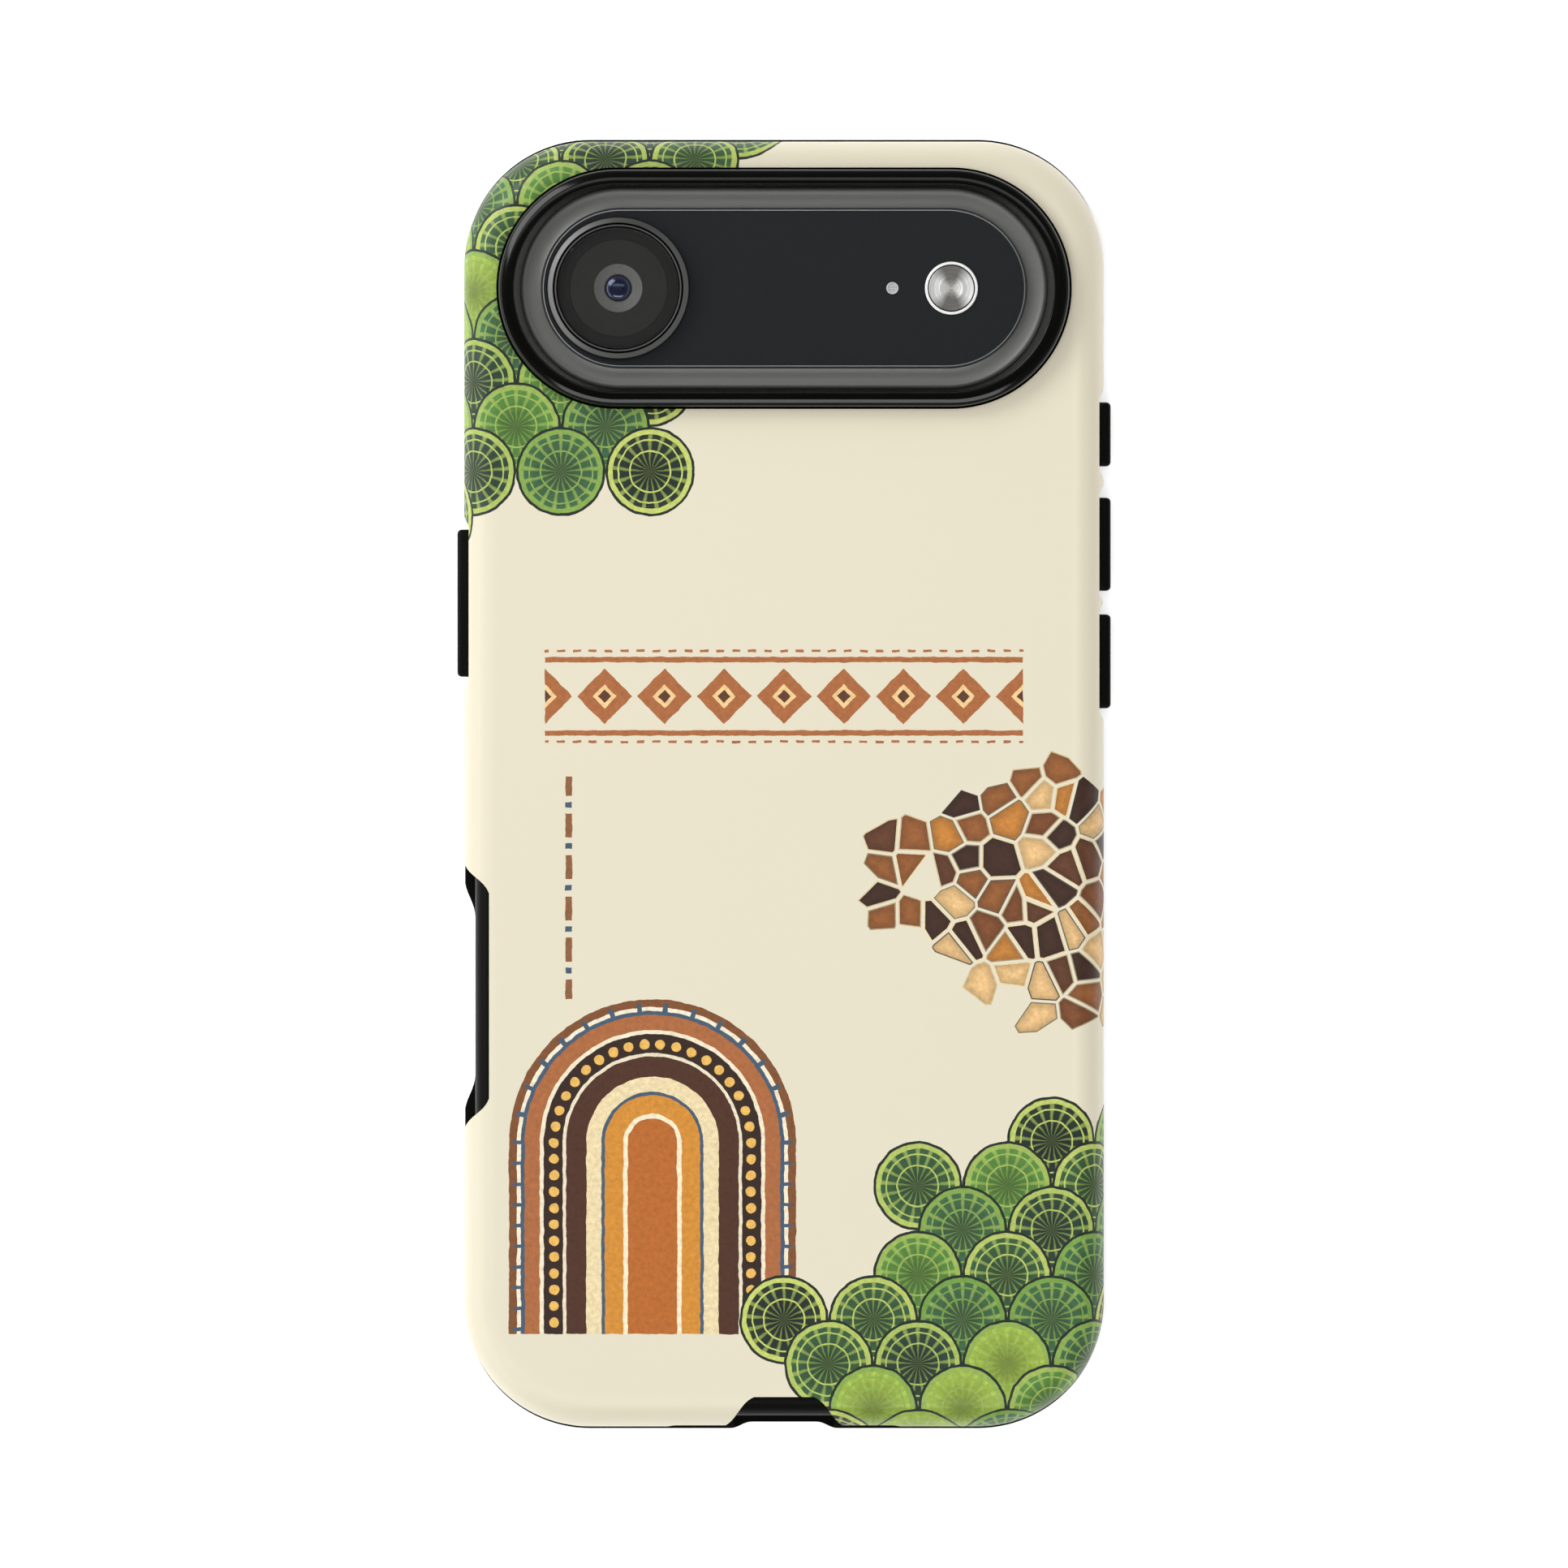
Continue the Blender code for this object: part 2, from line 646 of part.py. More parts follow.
def make_flash(rim_metal, reflector):
    """The flash: a bright rim round a shallow reflector disc."""
    foot = BAR_TOP - SMALL_SEAT + SEAM
    top = BAR_TOP + FLASH_PROUD
    bore = FLASH_LENS_RADIUS + SEAM
    turned_body(
        "flash_rim",
        FLASH_X,
        [
            (bore, foot),
            (FLASH_RADIUS, foot),
            (FLASH_RADIUS, top - FINE_BEVEL),
            (FLASH_RADIUS - FINE_BEVEL, top),
            (bore, top),
        ],
        FLASH_STEPS,
        rim_metal,
        closed=True,
    )
    dish_edge = top - FINE_BEVEL
    turned_body(
        "flash_lens",
        FLASH_X,
        [
            (0.0, foot),
            (FLASH_LENS_RADIUS, foot),
            (FLASH_LENS_RADIUS, dish_edge),
            (FLASH_LENS_RADIUS / 2, dish_edge - 0.6 * FLASH_DISH_DEPTH),
            (0.0, dish_edge - FLASH_DISH_DEPTH),
        ],
        FLASH_STEPS,
        reflector,
    )


def make_microphone(mesh_metal):
    """The microphone's small port, with its mesh sunk inside the rim."""
    foot = BAR_TOP - SMALL_SEAT + SEAM
    top = BAR_TOP + MICROPHONE_PROUD
    mesh_top = top - FINE_BEVEL
    turned_body(
        "microphone",
        MICROPHONE_X,
        [
            (0.0, foot),
            (MICROPHONE_RADIUS, foot),
            (MICROPHONE_RADIUS, top),
            (MICROPHONE_MESH_RADIUS, top),
            (MICROPHONE_MESH_RADIUS, mesh_top),
            (0.0, mesh_top),
        ],
        MICROPHONE_STEPS,
        mesh_metal,
    )


def main():
    for old in list(bpy.data.objects):
        bpy.data.objects.remove(old)
    cream = material("cream_polycarbonate", (0.82, 0.76, 0.6), 0.35)
    rubber = material("black_rubber", (0.004, 0.004, 0.004), 0.5)
    graphite = material("graphite_glass", (0.15, 0.15, 0.15), 0.35)
    screen = material("screen_glass", (0.005, 0.005, 0.006), 0.05)
    bar_glass = material("black_bar_glass", (0.018, 0.02, 0.023), 0.3)
    frame_metal = material("frame_metal", (0.35, 0.35, 0.36), 0.3, 1.0)
    control_metal = material("control_metal", (0.2, 0.2, 0.21), 0.3, 1.0)
    ring_metal = material("lens_ring_metal", (0.3, 0.3, 0.3), 0.25, 1.0)
    clear_glass = material("cover_glass", (0.05, 0.05, 0.05), 0.02)
    barrel_black = material("barrel_black", (0.03, 0.03, 0.027), 0.4)
    coated_glass = material("coated_glass", (0.05, 0.05, 0.12), 0.03)
    bright_metal = material("bright_metal", (0.85, 0.85, 0.85), 0.2, 1.0)
    reflector = material("reflector", (0.7, 0.7, 0.68), 0.3, 1.0)
    mesh_metal = material("mesh_metal", (0.6, 0.6, 0.6), 0.5, 1.0)
    make_shell(cream)
    make_liner(rubber)
    make_phone_frame(frame_metal, control_metal)
    make_phone_glass(screen, graphite)
    make_camera_bar(bar_glass)
    make_lens(ring_metal, clear_glass, barrel_black, coated_glass)
    make_flash(bright_metal, reflector)
    make_microphone(mesh_metal)


main()
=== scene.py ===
"""The looks of a slim phone in its printed two-layer case, seen from straight above.

The frame gives the place and size of every piece. Smooth pieces stand for the faceted CAD solids:
each is drawn as a section, which is spun round the corners and extruded along the sides. Lengths
here are in millimetres, and the drawing functions turn them into Blender's metres.
"""

import math
from functools import partial

import bmesh
import bpy
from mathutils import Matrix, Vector


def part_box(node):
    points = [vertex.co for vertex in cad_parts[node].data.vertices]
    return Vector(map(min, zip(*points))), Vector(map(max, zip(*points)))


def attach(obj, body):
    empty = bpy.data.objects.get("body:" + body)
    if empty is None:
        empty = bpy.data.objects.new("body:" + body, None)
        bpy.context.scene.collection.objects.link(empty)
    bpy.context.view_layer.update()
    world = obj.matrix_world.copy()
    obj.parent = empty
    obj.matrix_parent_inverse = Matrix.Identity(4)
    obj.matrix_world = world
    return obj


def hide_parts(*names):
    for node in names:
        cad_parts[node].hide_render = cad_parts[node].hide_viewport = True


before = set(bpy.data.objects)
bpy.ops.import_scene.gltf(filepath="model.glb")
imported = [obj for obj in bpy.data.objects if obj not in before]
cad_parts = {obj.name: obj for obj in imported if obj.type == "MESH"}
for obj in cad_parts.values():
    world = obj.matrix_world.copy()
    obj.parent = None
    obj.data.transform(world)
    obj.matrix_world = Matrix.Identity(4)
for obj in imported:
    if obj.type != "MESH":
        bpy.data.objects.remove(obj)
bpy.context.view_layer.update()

MM = 0.001


def node_box(node):
    """Lowest and highest corner of a CAD node, in millimetres."""
    return [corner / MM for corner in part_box(node)]


# The phone and the case round it, as the frame has them
PHONE_LOW, PHONE_HIGH = node_box("phone_frame")
SCREEN_LOW, _ = node_box("phone_screen")
SHELL_LOW, SHELL_HIGH = node_box("shell")
LINER_LOW, LINER_HIGH = node_box("liner")
_, BACK_HIGH = node_box("phone_back")
BAR_LOW, BAR_HIGH = node_box("camera_bar")
RING_LOW, RING_HIGH = node_box("lens_ring")
COVER_LOW, COVER_HIGH = node_box("lens_cover")
_, BARREL_HIGH = node_box("lens_barrel")
ELEMENT_LOW, ELEMENT_HIGH = node_box("lens_element")
RIM_LOW, RIM_HIGH = node_box("flash_rim")
DISH_LOW, DISH_HIGH = node_box("flash_lens")
MICROPHONE_LOW, MICROPHONE_HIGH = node_box("microphone")
CONTROL_LOW, CONTROL_HIGH = node_box("phone_control")

# Walls and gaps of the case, as distances out from the phone's own outline
FIT_GAP = 0.3
WALL = 1.1
SEAM = 0.15
PHONE_CORNER = 13.0
CORNER_X = PHONE_HIGH.x - PHONE_CORNER
CORNER_Y = PHONE_HIGH.y - PHONE_CORNER
SHELL_OUTSIDE = SHELL_HIGH.x - PHONE_HIGH.x
SHELL_INSIDE = SHELL_OUTSIDE - WALL
LINER_OUTSIDE = SHELL_INSIDE - FIT_GAP
LINER_INSIDE = LINER_OUTSIDE - WALL
BUMPER_SIDE = SHELL_OUTSIDE - 0.1
BUMPER_FURTHER = LINER_HIGH.y - PHONE_HIGH.y - BUMPER_SIDE
LIP_INSIDE = -1.1
SHOULDER = 3.6
SHOULDER_CENTRE = SHELL_OUTSIDE - SHOULDER
# The shell's ends stop this much short, so that the bumper shows as a thin black line
END_INSET = 0.07

# Heights above the table
CASE_BACK = SHELL_HIGH.z
SHELL_EDGE = SHELL_LOW.z
SHOULDER_FOOT = CASE_BACK - SHOULDER
LINER_BACK = CASE_BACK - WALL - FIT_GAP
LINER_FLOOR = LINER_BACK - WALL
BUMPER_TOP = SHELL_EDGE - FIT_GAP
LIP_TOP = SCREEN_LOW.z - SEAM

# Camera opening, rim, plateau and bar, which share one middle
CAMERA_Y = (BAR_LOW.y + BAR_HIGH.y) / 2
OPENING_LENGTH = 72.2
OPENING_WIDTH = 30.3
CAMERA_REACH = (OPENING_LENGTH - OPENING_WIDTH) / 2
RIM_RADIUS = OPENING_WIDTH / 2 - FIT_GAP
RIM_THICKNESS = 1.9
RIM_INSIDE = RIM_RADIUS - RIM_THICKNESS
RIM_TOP = LINER_HIGH.z
PLATEAU_RADIUS = RIM_INSIDE - FIT_GAP
PLATEAU_TOP = BACK_HIGH.z
BAR_RADIUS = (BAR_HIGH.y - BAR_LOW.y) / 2
BAR_REACH = BAR_HIGH.x - BAR_RADIUS
BAR_TOP = BAR_HIGH.z
BAR_CHAMFER = 0.12
LENS_X = (RING_LOW.x + RING_HIGH.x) / 2
LENS_RADIUS = RING_HIGH.x - LENS_X
GLASS_RADIUS = COVER_HIGH.x - LENS_X
GROOVE_INSIDE = GLASS_RADIUS + SEAM + 0.22
GROOVE_WIDTH = 0.22
STEP_RADIUS = 6.1
WELL_RADIUS = 3.02
PUPIL_RADIUS = ELEMENT_HIGH.x - LENS_X
FLASH_X = (RIM_LOW.x + RIM_HIGH.x) / 2
FLASH_RADIUS = RIM_HIGH.x - FLASH_X
DISH_RADIUS = DISH_HIGH.x - FLASH_X
MICROPHONE_X = (MICROPHONE_LOW.x + MICROPHONE_HIGH.x) / 2
MICROPHONE_RADIUS = MICROPHONE_HIGH.x - MICROPHONE_X
MESH_RADIUS = MICROPHONE_RADIUS - 0.19

# Button pads: side of the case, middle and length along Y
BUTTONS = {
    "power": (-1, 22.7, 18.5),
    "action": (1, 43.9, 8.05),
    "volume_up": (1, 30.1, 11.7),
    "volume_down": (1, 15.4, 11.8),
}
PAD_LOW = 2.4
PAD_HIGH = 5.5
PAD_ROUND = 0.55
DIP_DEPTH = 0.58
DIP_SLOPE = 2.0

# Finger cut-out on the left side, and plug cut-out at the bottom end: length, flat part and depth
CONTROL_Y = (CONTROL_LOW.y + CONTROL_HIGH.y) / 2
CONTROL_SHELL_NOTCH = (33.5, 25.7, 3.15)
CONTROL_LINER_NOTCH = (31.1, 18.3, 1.4)
CONTROL_SLOT_LENGTH = 17.0
CONTROL_SLOT_HEIGHTS = (2.3, 5.3)
PORT_SHELL_NOTCH = (15.5, 7.5, 3.8)
PORT_LINER_NOTCH = (14.0, 7.6, 0.8)
PORT_SHELL_DIP = (31.0, 26.6, 0.22)
PORT_SLOT_WIDTH = 12.4
PORT_SLOT_HEIGHTS = (1.35, 6.35)
CUT_MARGIN = 3.0
NOTCH_STEPS = 10

CORNER_STEPS = 28
LENS_STEPS = 32
SMALL_STEPS = 14
SHARP_ANGLE = math.radians(32)
# A turned piece's section ends this far from its middle, and a flat face closes it
POLE = 0.02
# A section starts this far in on the flat back, where the smooth shading of its round ends
FLAT_START = 0.4


def in_metres(*lengths):
    """A point or a size in metres, from its lengths in millimetres."""
    return Vector(length * MM for length in lengths)


def choose(piece, kind, wanted):
    """In edit mode, selects the piece's points, edges or faces that pass a test, and nothing else.
    The test gets a bmesh point, edge or face."""
    bpy.ops.mesh.select_mode(type=kind)
    bpy.ops.mesh.select_all(action="DESELECT")
    bm = bmesh.from_edit_mesh(piece.data)
    parts = {"VERT": bm.verts, "EDGE": bm.edges, "FACE": bm.faces}[kind]
    for part in parts:
        if wanted(part):
            part.select_set(True)
    bm.select_flush_mode()
    bmesh.update_edit_mesh(piece.data)


def take_up(piece):
    """Makes a piece the only selected and the active object."""
    bpy.ops.object.select_all(action="DESELECT")
    piece.select_set(True)
    bpy.context.view_layer.objects.active = piece


def draw_line(name, points):
    """A line drawn point after point from one corner of a small plane. It is left in edit mode."""
    bpy.ops.object.select_all(action="DESELECT")
    bpy.ops.mesh.primitive_plane_add(size=MM)
    piece = bpy.context.object
    piece.name = name
    piece.data.name = name
    bpy.ops.object.mode_set(mode="EDIT")
    bpy.ops.mesh.select_mode(type="VERT")
    bpy.ops.mesh.merge(type="CENTER")
    bpy.ops.transform.translate(value=in_metres(*points[0]))
    for near, far in zip(points, points[1:]):
        step = in_metres(*(b - a for a, b in zip(near, far)))
        bpy.ops.mesh.extrude_region_move(TRANSFORM_OT_translate={"value": step})
    return piece


def arc(centre, radius, start_deg, end_deg, steps):
    """Points along an arc, from one angle to another, as (across, up) pairs."""
    points = []
    for step in range(steps + 1):
        angle = math.radians(start_deg + (end_deg - start_deg) * step / steps)
        points.append((centre[0] + radius * math.cos(angle), centre[1] + radius * math.sin(angle)))
    return points


def draw_round(name, section, middle=(0.0, 0.0), corner=(0.0, 0.0), steps=LENS_STEPS, capped=True):
    """A section of (radius, height) points, spun a quarter turn round each corner and extruded along
    each side. The corners lie (x, y) from the middle. With (0, 0) the piece is turned, and with
    (x, 0) it has two half-round ends. Capped, its open ends are closed with flat faces."""
    x, y = corner
    start = [(middle[0] + x + radius, middle[1] - y, height) for radius, height in section]
    piece = draw_line(name, start)
    bpy.ops.mesh.select_all(action="SELECT")
    corners_and_sides = [
        ((x, -y), (-2 * x, 0)),
        ((-x, -y), (0, 2 * y)),
        ((-x, y), (2 * x, 0)),
        ((x, y), (0, -2 * y)),
    ]
    for (centre_x, centre_y), side in corners_and_sides:
        centre = in_metres(middle[0] + centre_x, middle[1] + centre_y, 0.0)
        bpy.ops.mesh.spin(steps=steps, angle=math.pi / 2, center=centre, axis=(0, 0, 1))
        if any(side):
            step = in_metres(*side, 0.0)
            bpy.ops.mesh.extrude_region_move(TRANSFORM_OT_translate={"value": step})
    bpy.ops.mesh.select_all(action="SELECT")
    bpy.ops.mesh.remove_doubles(threshold=0.002 * MM)
    if capped:
        choose(piece, "EDGE", lambda edge: edge.is_boundary)
        bpy.ops.mesh.fill_holes(sides=0)
    bpy.ops.mesh.select_all(action="SELECT")
    bpy.ops.mesh.normals_make_consistent(inside=False)
    bpy.ops.object.mode_set(mode="OBJECT")
    return piece


def draw_round_camera(name, section, reach, steps=CORNER_STEPS + 8, capped=True):
    """A piece with two half-round ends, whose middle is the camera's."""
    return draw_round(name, section, (0.0, CAMERA_Y), (reach, 0.0), steps, capped)


def draw_block(name, outline, low, high):
    """An outline of (x, y) points, closed with a face and drawn up from one height to another."""
    piece = draw_line(name, [(x, y, low) for x, y in outline])
    bpy.ops.mesh.select_all(action="SELECT")
    bpy.ops.mesh.edge_face_add()
    step = in_metres(0.0, 0.0, high - low)
    bpy.ops.mesh.extrude_region_move(TRANSFORM_OT_translate={"value": step})
    bpy.ops.mesh.select_all(action="SELECT")
    bpy.ops.mesh.normals_make_consistent(inside=False)
    bpy.ops.object.mode_set(mode="OBJECT")
    return piece


def rounded_box(name, low, high, radius=0.0):
    """A cube at its size and place between two corners, with its edges rounded if asked."""
    size = [b - a for a, b in zip(low, high)]
    middle = [(a + b) / 2 for a, b in zip(low, high)]
    bpy.ops.object.select_all(action="DESELECT")
    bpy.ops.mesh.primitive_cube_add(size=1, location=in_metres(*middle), scale=in_metres(*size))
    piece = bpy.context.object
    piece.name = name
    piece.data.name = name
    bpy.ops.object.transform_apply(location=True, rotation=True, scale=True)
    if radius:
        bpy.ops.object.mode_set(mode="EDIT")
        bpy.ops.mesh.select_all(action="SELECT")
        bpy.ops.mesh.bevel(offset=radius * MM, segments=5, affect="EDGES")
        bpy.ops.object.mode_set(mode="OBJECT")
    return piece


def cut(piece, cutters):
    """Cuts the cutters from a piece, and takes them away."""
    for tool in cutters:
        take_up(piece)
        modifier = piece.modifiers.new(tool.name, "BOOLEAN")
        modifier.operation = "DIFFERENCE"
        modifier.solver = "EXACT"
        modifier.object = tool
        bpy.ops.object.modifier_apply(modifier=modifier.name)
        bpy.data.objects.remove(tool)


def finish(piece, made_of, slot, *nodes):
    """Smooth shading, a material, the body it rides on, and the CAD nodes that it stands for."""
    take_up(piece)
    bpy.ops.object.shade_smooth_by_angle(angle=SHARP_ANGLE)
    piece.data.materials.clear()
    piece.data.materials.append(made_of)
    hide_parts(*nodes)
    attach(piece, "root")


def notch(name, place, edge, sizes, heights, ease=1.0):
    """A cutter for a notch whose ends slope as an S, which is straighter with less ease. The place
    turns (along the edge, out from the middle) into (x, y), and the sizes are the notch's length, its
    flat part and its depth."""
    length, flat, depth = sizes
    outline = [(-length / 2, edge + CUT_MARGIN)]
    for step in range(NOTCH_STEPS + 1):
        share = step / NOTCH_STEPS
        rise = share - ease * math.sin(2 * math.pi * share) / (2 * math.pi)
        outline.append((-length / 2 + (length - flat) / 2 * share, edge - depth * rise))
    outline += [(-along, out) for along, out in reversed(outline)]
    return draw_block(name, [place(along, out) for along, out in outline], *heights)


def on_side(side, middle):
    """Place on the left (-1) or right (1) side, from (along Y, out from the middle)."""
    return lambda along, out: (side * out, middle + along)


def on_bottom_end(along, out):
    """Place on the bottom end, from (along X, out from the middle)."""
    return (along, -out)


def button_dips(name, heights):
    """Cutters for the shallow dips that the case's outline has round the button pads."""
    cutters = []
    for button, (side, middle, length) in BUTTONS.items():
        sizes = (length + 2 * DIP_SLOPE, length, DIP_DEPTH)
        cutters.append(
            notch(f"{name}_{button}", on_side(side, middle), SHELL_HIGH.x, sizes, heights)
        )
    return cutters


def side_box(name, side, middle, length, reach, heights, radius=0.0):
    """A block on the left (-1) or right (1) side, between two distances out from the middle."""
    near, far = sorted(side * out for out in reach)
    low = (near, middle - length / 2, heights[0])
    high = (far, middle + length / 2, heights[1])
    return rounded_box(name, low, high, radius)


def make_shell(made_of):
    """The hard printed shell: a wall with rounded shoulders, its camera opening, slots and notches."""
    centre = (PHONE_CORNER + SHOULDER_CENTRE, SHOULDER_FOOT)
    edge_round = 0.25
    outer = PHONE_CORNER + SHELL_OUTSIDE
    inner = PHONE_CORNER + SHELL_INSIDE
    section = [
        (centre[0] - FLAT_START, CASE_BACK),
        *arc(centre, SHOULDER, 90, 0, 14),
        *arc((outer - edge_round, SHELL_EDGE + edge_round), edge_round, 0, -90, 4),
        *arc((inner + edge_round, SHELL_EDGE + edge_round), edge_round, -90, -180, 4),
        *arc(centre, SHOULDER - WALL, 0, 90, 10),
    ]
    ends = CORNER_Y - END_INSET
    shell = draw_round("printed_shell", section, corner=(CORNER_X, ends), steps=CORNER_STEPS)
    heights = (SHELL_EDGE - CUT_MARGIN, CASE_BACK + CUT_MARGIN)
    ease = 0.5
    wall = [(OPENING_WIDTH / 2, height) for height in heights]
    opening = draw_round_camera("camera_opening", wall, CAMERA_REACH, CORNER_STEPS)
    cutters = [
        opening,
        notch("control_notch", on_side(-1, CONTROL_Y), SHELL_HIGH.x, CONTROL_SHELL_NOTCH, heights, ease),
        notch("port_notch", on_bottom_end, SHELL_HIGH.y, PORT_SHELL_NOTCH, heights, ease),
        notch("port_dip", on_bottom_end, SHELL_HIGH.y, PORT_SHELL_DIP, heights),
        *button_dips("shell_dip", heights),
    ]
    reach = (SHELL_HIGH.x - CUT_MARGIN, SHELL_HIGH.x + CUT_MARGIN)
    slot_heights = (heights[0], PAD_HIGH + FIT_GAP)
    for button, (side, middle, length) in BUTTONS.items():
        room = length + 2 * FIT_GAP
        cutters.append(side_box(f"slot_{button}", side, middle, room, reach, slot_heights))
    cut(shell, cutters)
    lay_print_map(shell)
    finish(shell, made_of, "shell_plastic", "shell")


def lay_print_map(shell):
    """The shell's own map for the export: its back is laid out flat, so that the print stays crisp.
    Faces on the back are those whose normals lean up enough."""
    take_up(shell)
    bpy.ops.mesh.uv_texture_add()
    layer = shell.data.uv_layers[-1]
    layer.name = "OFBake"
    lean = 0.2
    bpy.ops.object.mode_set(mode="EDIT")
    choose(shell, "FACE", lambda face: face.normal.z <= lean)
    bpy.ops.uv.smart_project(angle_limit=math.radians(66), island_margin=0.01)
    bpy.ops.object.mode_set(mode="OBJECT")
    layer = shell.data.uv_layers["OFBake"]
    length = SHELL_HIGH.y - SHELL_LOW.y
    width = SHELL_HIGH.x - SHELL_LOW.x
    margin = 0.004
    share = width / length
    for face in shell.data.polygons:
        on_back = face.normal.z > lean
        for corner in face.loop_indices:
            point = shell.data.vertices[shell.data.loops[corner].vertex_index].co / MM
            if on_back:
                u = margin + (point.x - SHELL_LOW.x) / length * (1 - 2 * margin)
                v = margin + (point.y - SHELL_LOW.y) / length * (1 - 2 * margin)
            else:
                old = layer.data[corner].uv
                u = share + 2 * margin + old[0] * (1 - share - 3 * margin)
                v = margin + old[1] * (1 - 2 * margin)
            layer.data[corner].uv = (u, v)


def make_liner(made_of, rim_rubber):
    """The rubber liner: tray with front lip and bumper, raised camera rim, and the button pads."""
    centre = (PHONE_CORNER + SHOULDER_CENTRE, SHOULDER_FOOT)
    radius = SHOULDER - WALL - FIT_GAP
    bumper = PHONE_CORNER + BUMPER_SIDE
    top_round = 0.08
    foot_round = 0.7
    lip = PHONE_CORNER + LIP_INSIDE
    lip_round = 0.35
    section = [
        (centre[0] - FLAT_START, LINER_BACK),
        *arc(centre, radius, 90, 0, 8),
        (PHONE_CORNER + LINER_OUTSIDE, BUMPER_TOP),
        *arc((bumper - top_round, BUMPER_TOP - top_round), top_round, 90, 0, 3),
        *arc((bumper - foot_round, foot_round), foot_round, 0, -90, 7),
        *arc((lip + lip_round, lip_round), lip_round, -90, -180, 5),
        (lip, LIP_TOP),
        (PHONE_CORNER + LINER_INSIDE, LIP_TOP),
        *arc(centre, radius - WALL, 0, 90, 6),
    ]
    liner = draw_round("rubber_liner", section, corner=(CORNER_X, CORNER_Y), steps=CORNER_STEPS)
    stretch_bumper(liner)
    wall = [(RIM_INSIDE, height) for height in (LINER_FLOOR - CUT_MARGIN, RIM_TOP)]
    opening = draw_round_camera("liner_camera_opening", wall, CAMERA_REACH, CORNER_STEPS)
    heights = (-CUT_MARGIN, BUMPER_TOP + FIT_GAP / 2)
    reach = (PHONE_HIGH.x - CUT_MARGIN, SHELL_HIGH.x + CUT_MARGIN)
    slot = (CONTROL_Y, CONTROL_SLOT_LENGTH, reach, CONTROL_SLOT_HEIGHTS)
    cutters = [
        opening,
        notch("liner_control", on_side(-1, CONTROL_Y), SHELL_HIGH.x, CONTROL_LINER_NOTCH, heights),
        notch("liner_port", on_bottom_end, LINER_HIGH.y, PORT_LINER_NOTCH, heights),
        *button_dips("liner_dip", heights),
        side_box("liner_control_slot", -1, *slot),
        rounded_box(
            "liner_port_slot",
            (-PORT_SLOT_WIDTH / 2, LINER_LOW.y - CUT_MARGIN, PORT_SLOT_HEIGHTS[0]),
            (PORT_SLOT_WIDTH / 2, PHONE_LOW.y + CUT_MARGIN, PORT_SLOT_HEIGHTS[1]),
        ),
    ]
    cut(liner, cutters)
    finish(liner, made_of, "liner_rubber", "liner")
    make_camera_rim(rim_rubber)
    for button, (side, middle, length) in BUTTONS.items():
        reach = (PHONE_HIGH.x + LINER_OUTSIDE - WALL / 2, LINER_HIGH.x)
        pad = side_box(f"pad_{button}", side, middle, length, reach, (PAD_LOW, PAD_HIGH), PAD_ROUND)
        finish(pad, made_of, "liner_rubber", "liner")


def stretch_bumper(liner):
    """Moves the bumper's two ends out, because it stands further proud there than on the sides."""
    take_up(liner)
    bpy.ops.object.mode_set(mode="EDIT")
    wall = PHONE_CORNER + LINER_OUTSIDE + 0.05
    for end in (-1, 1):

        def on_bumper(point):
            across = max(abs(point.co.x) / MM - CORNER_X, 0.0)
            along = end * point.co.y / MM - CORNER_Y
            low = point.co.z / MM < BUMPER_TOP + 0.01
            return low and along > -0.01 and math.hypot(across, max(along, 0.0)) > wall

        choose(liner, "VERT", on_bumper)
        bpy.ops.transform.translate(value=in_metres(0.0, end * BUMPER_FURTHER, 0.0))
    bpy.ops.object.mode_set(mode="OBJECT")


def make_camera_rim(made_of):
    """The rim that the liner raises round the camera. Its flat top breaks into a crowned slope, which
    rolls over into the outer wall."""
    slope_radius = 6.0
    slope_from, slope_to = math.radians(14), math.radians(20)
    outer_round = 0.55
    inner_round = 0.15
    foot = LINER_FLOOR + WALL / 3
    drop = slope_radius * (math.cos(slope_from) - math.cos(slope_to))
    roll = (RIM_RADIUS - outer_round, RIM_TOP - drop - outer_round * math.cos(slope_to))
    reach = slope_radius - outer_round
    crown = (roll[0] - reach * math.sin(slope_to), roll[1] - reach * math.cos(slope_to))
    section = [
        (RIM_INSIDE, foot),
        (RIM_RADIUS, foot),
        *arc(roll, outer_round, 0, 70, 10),
        *arc(crown, slope_radius, 70, 76, 5)[1:],
        *arc((RIM_INSIDE + inner_round, RIM_TOP - inner_round), inner_round, 90, 180, 6),
        (RIM_INSIDE, foot),
    ]
    rim = draw_round_camera("camera_rim", section, CAMERA_REACH, capped=False)
    finish(rim, made_of, "liner_rubber", "liner")


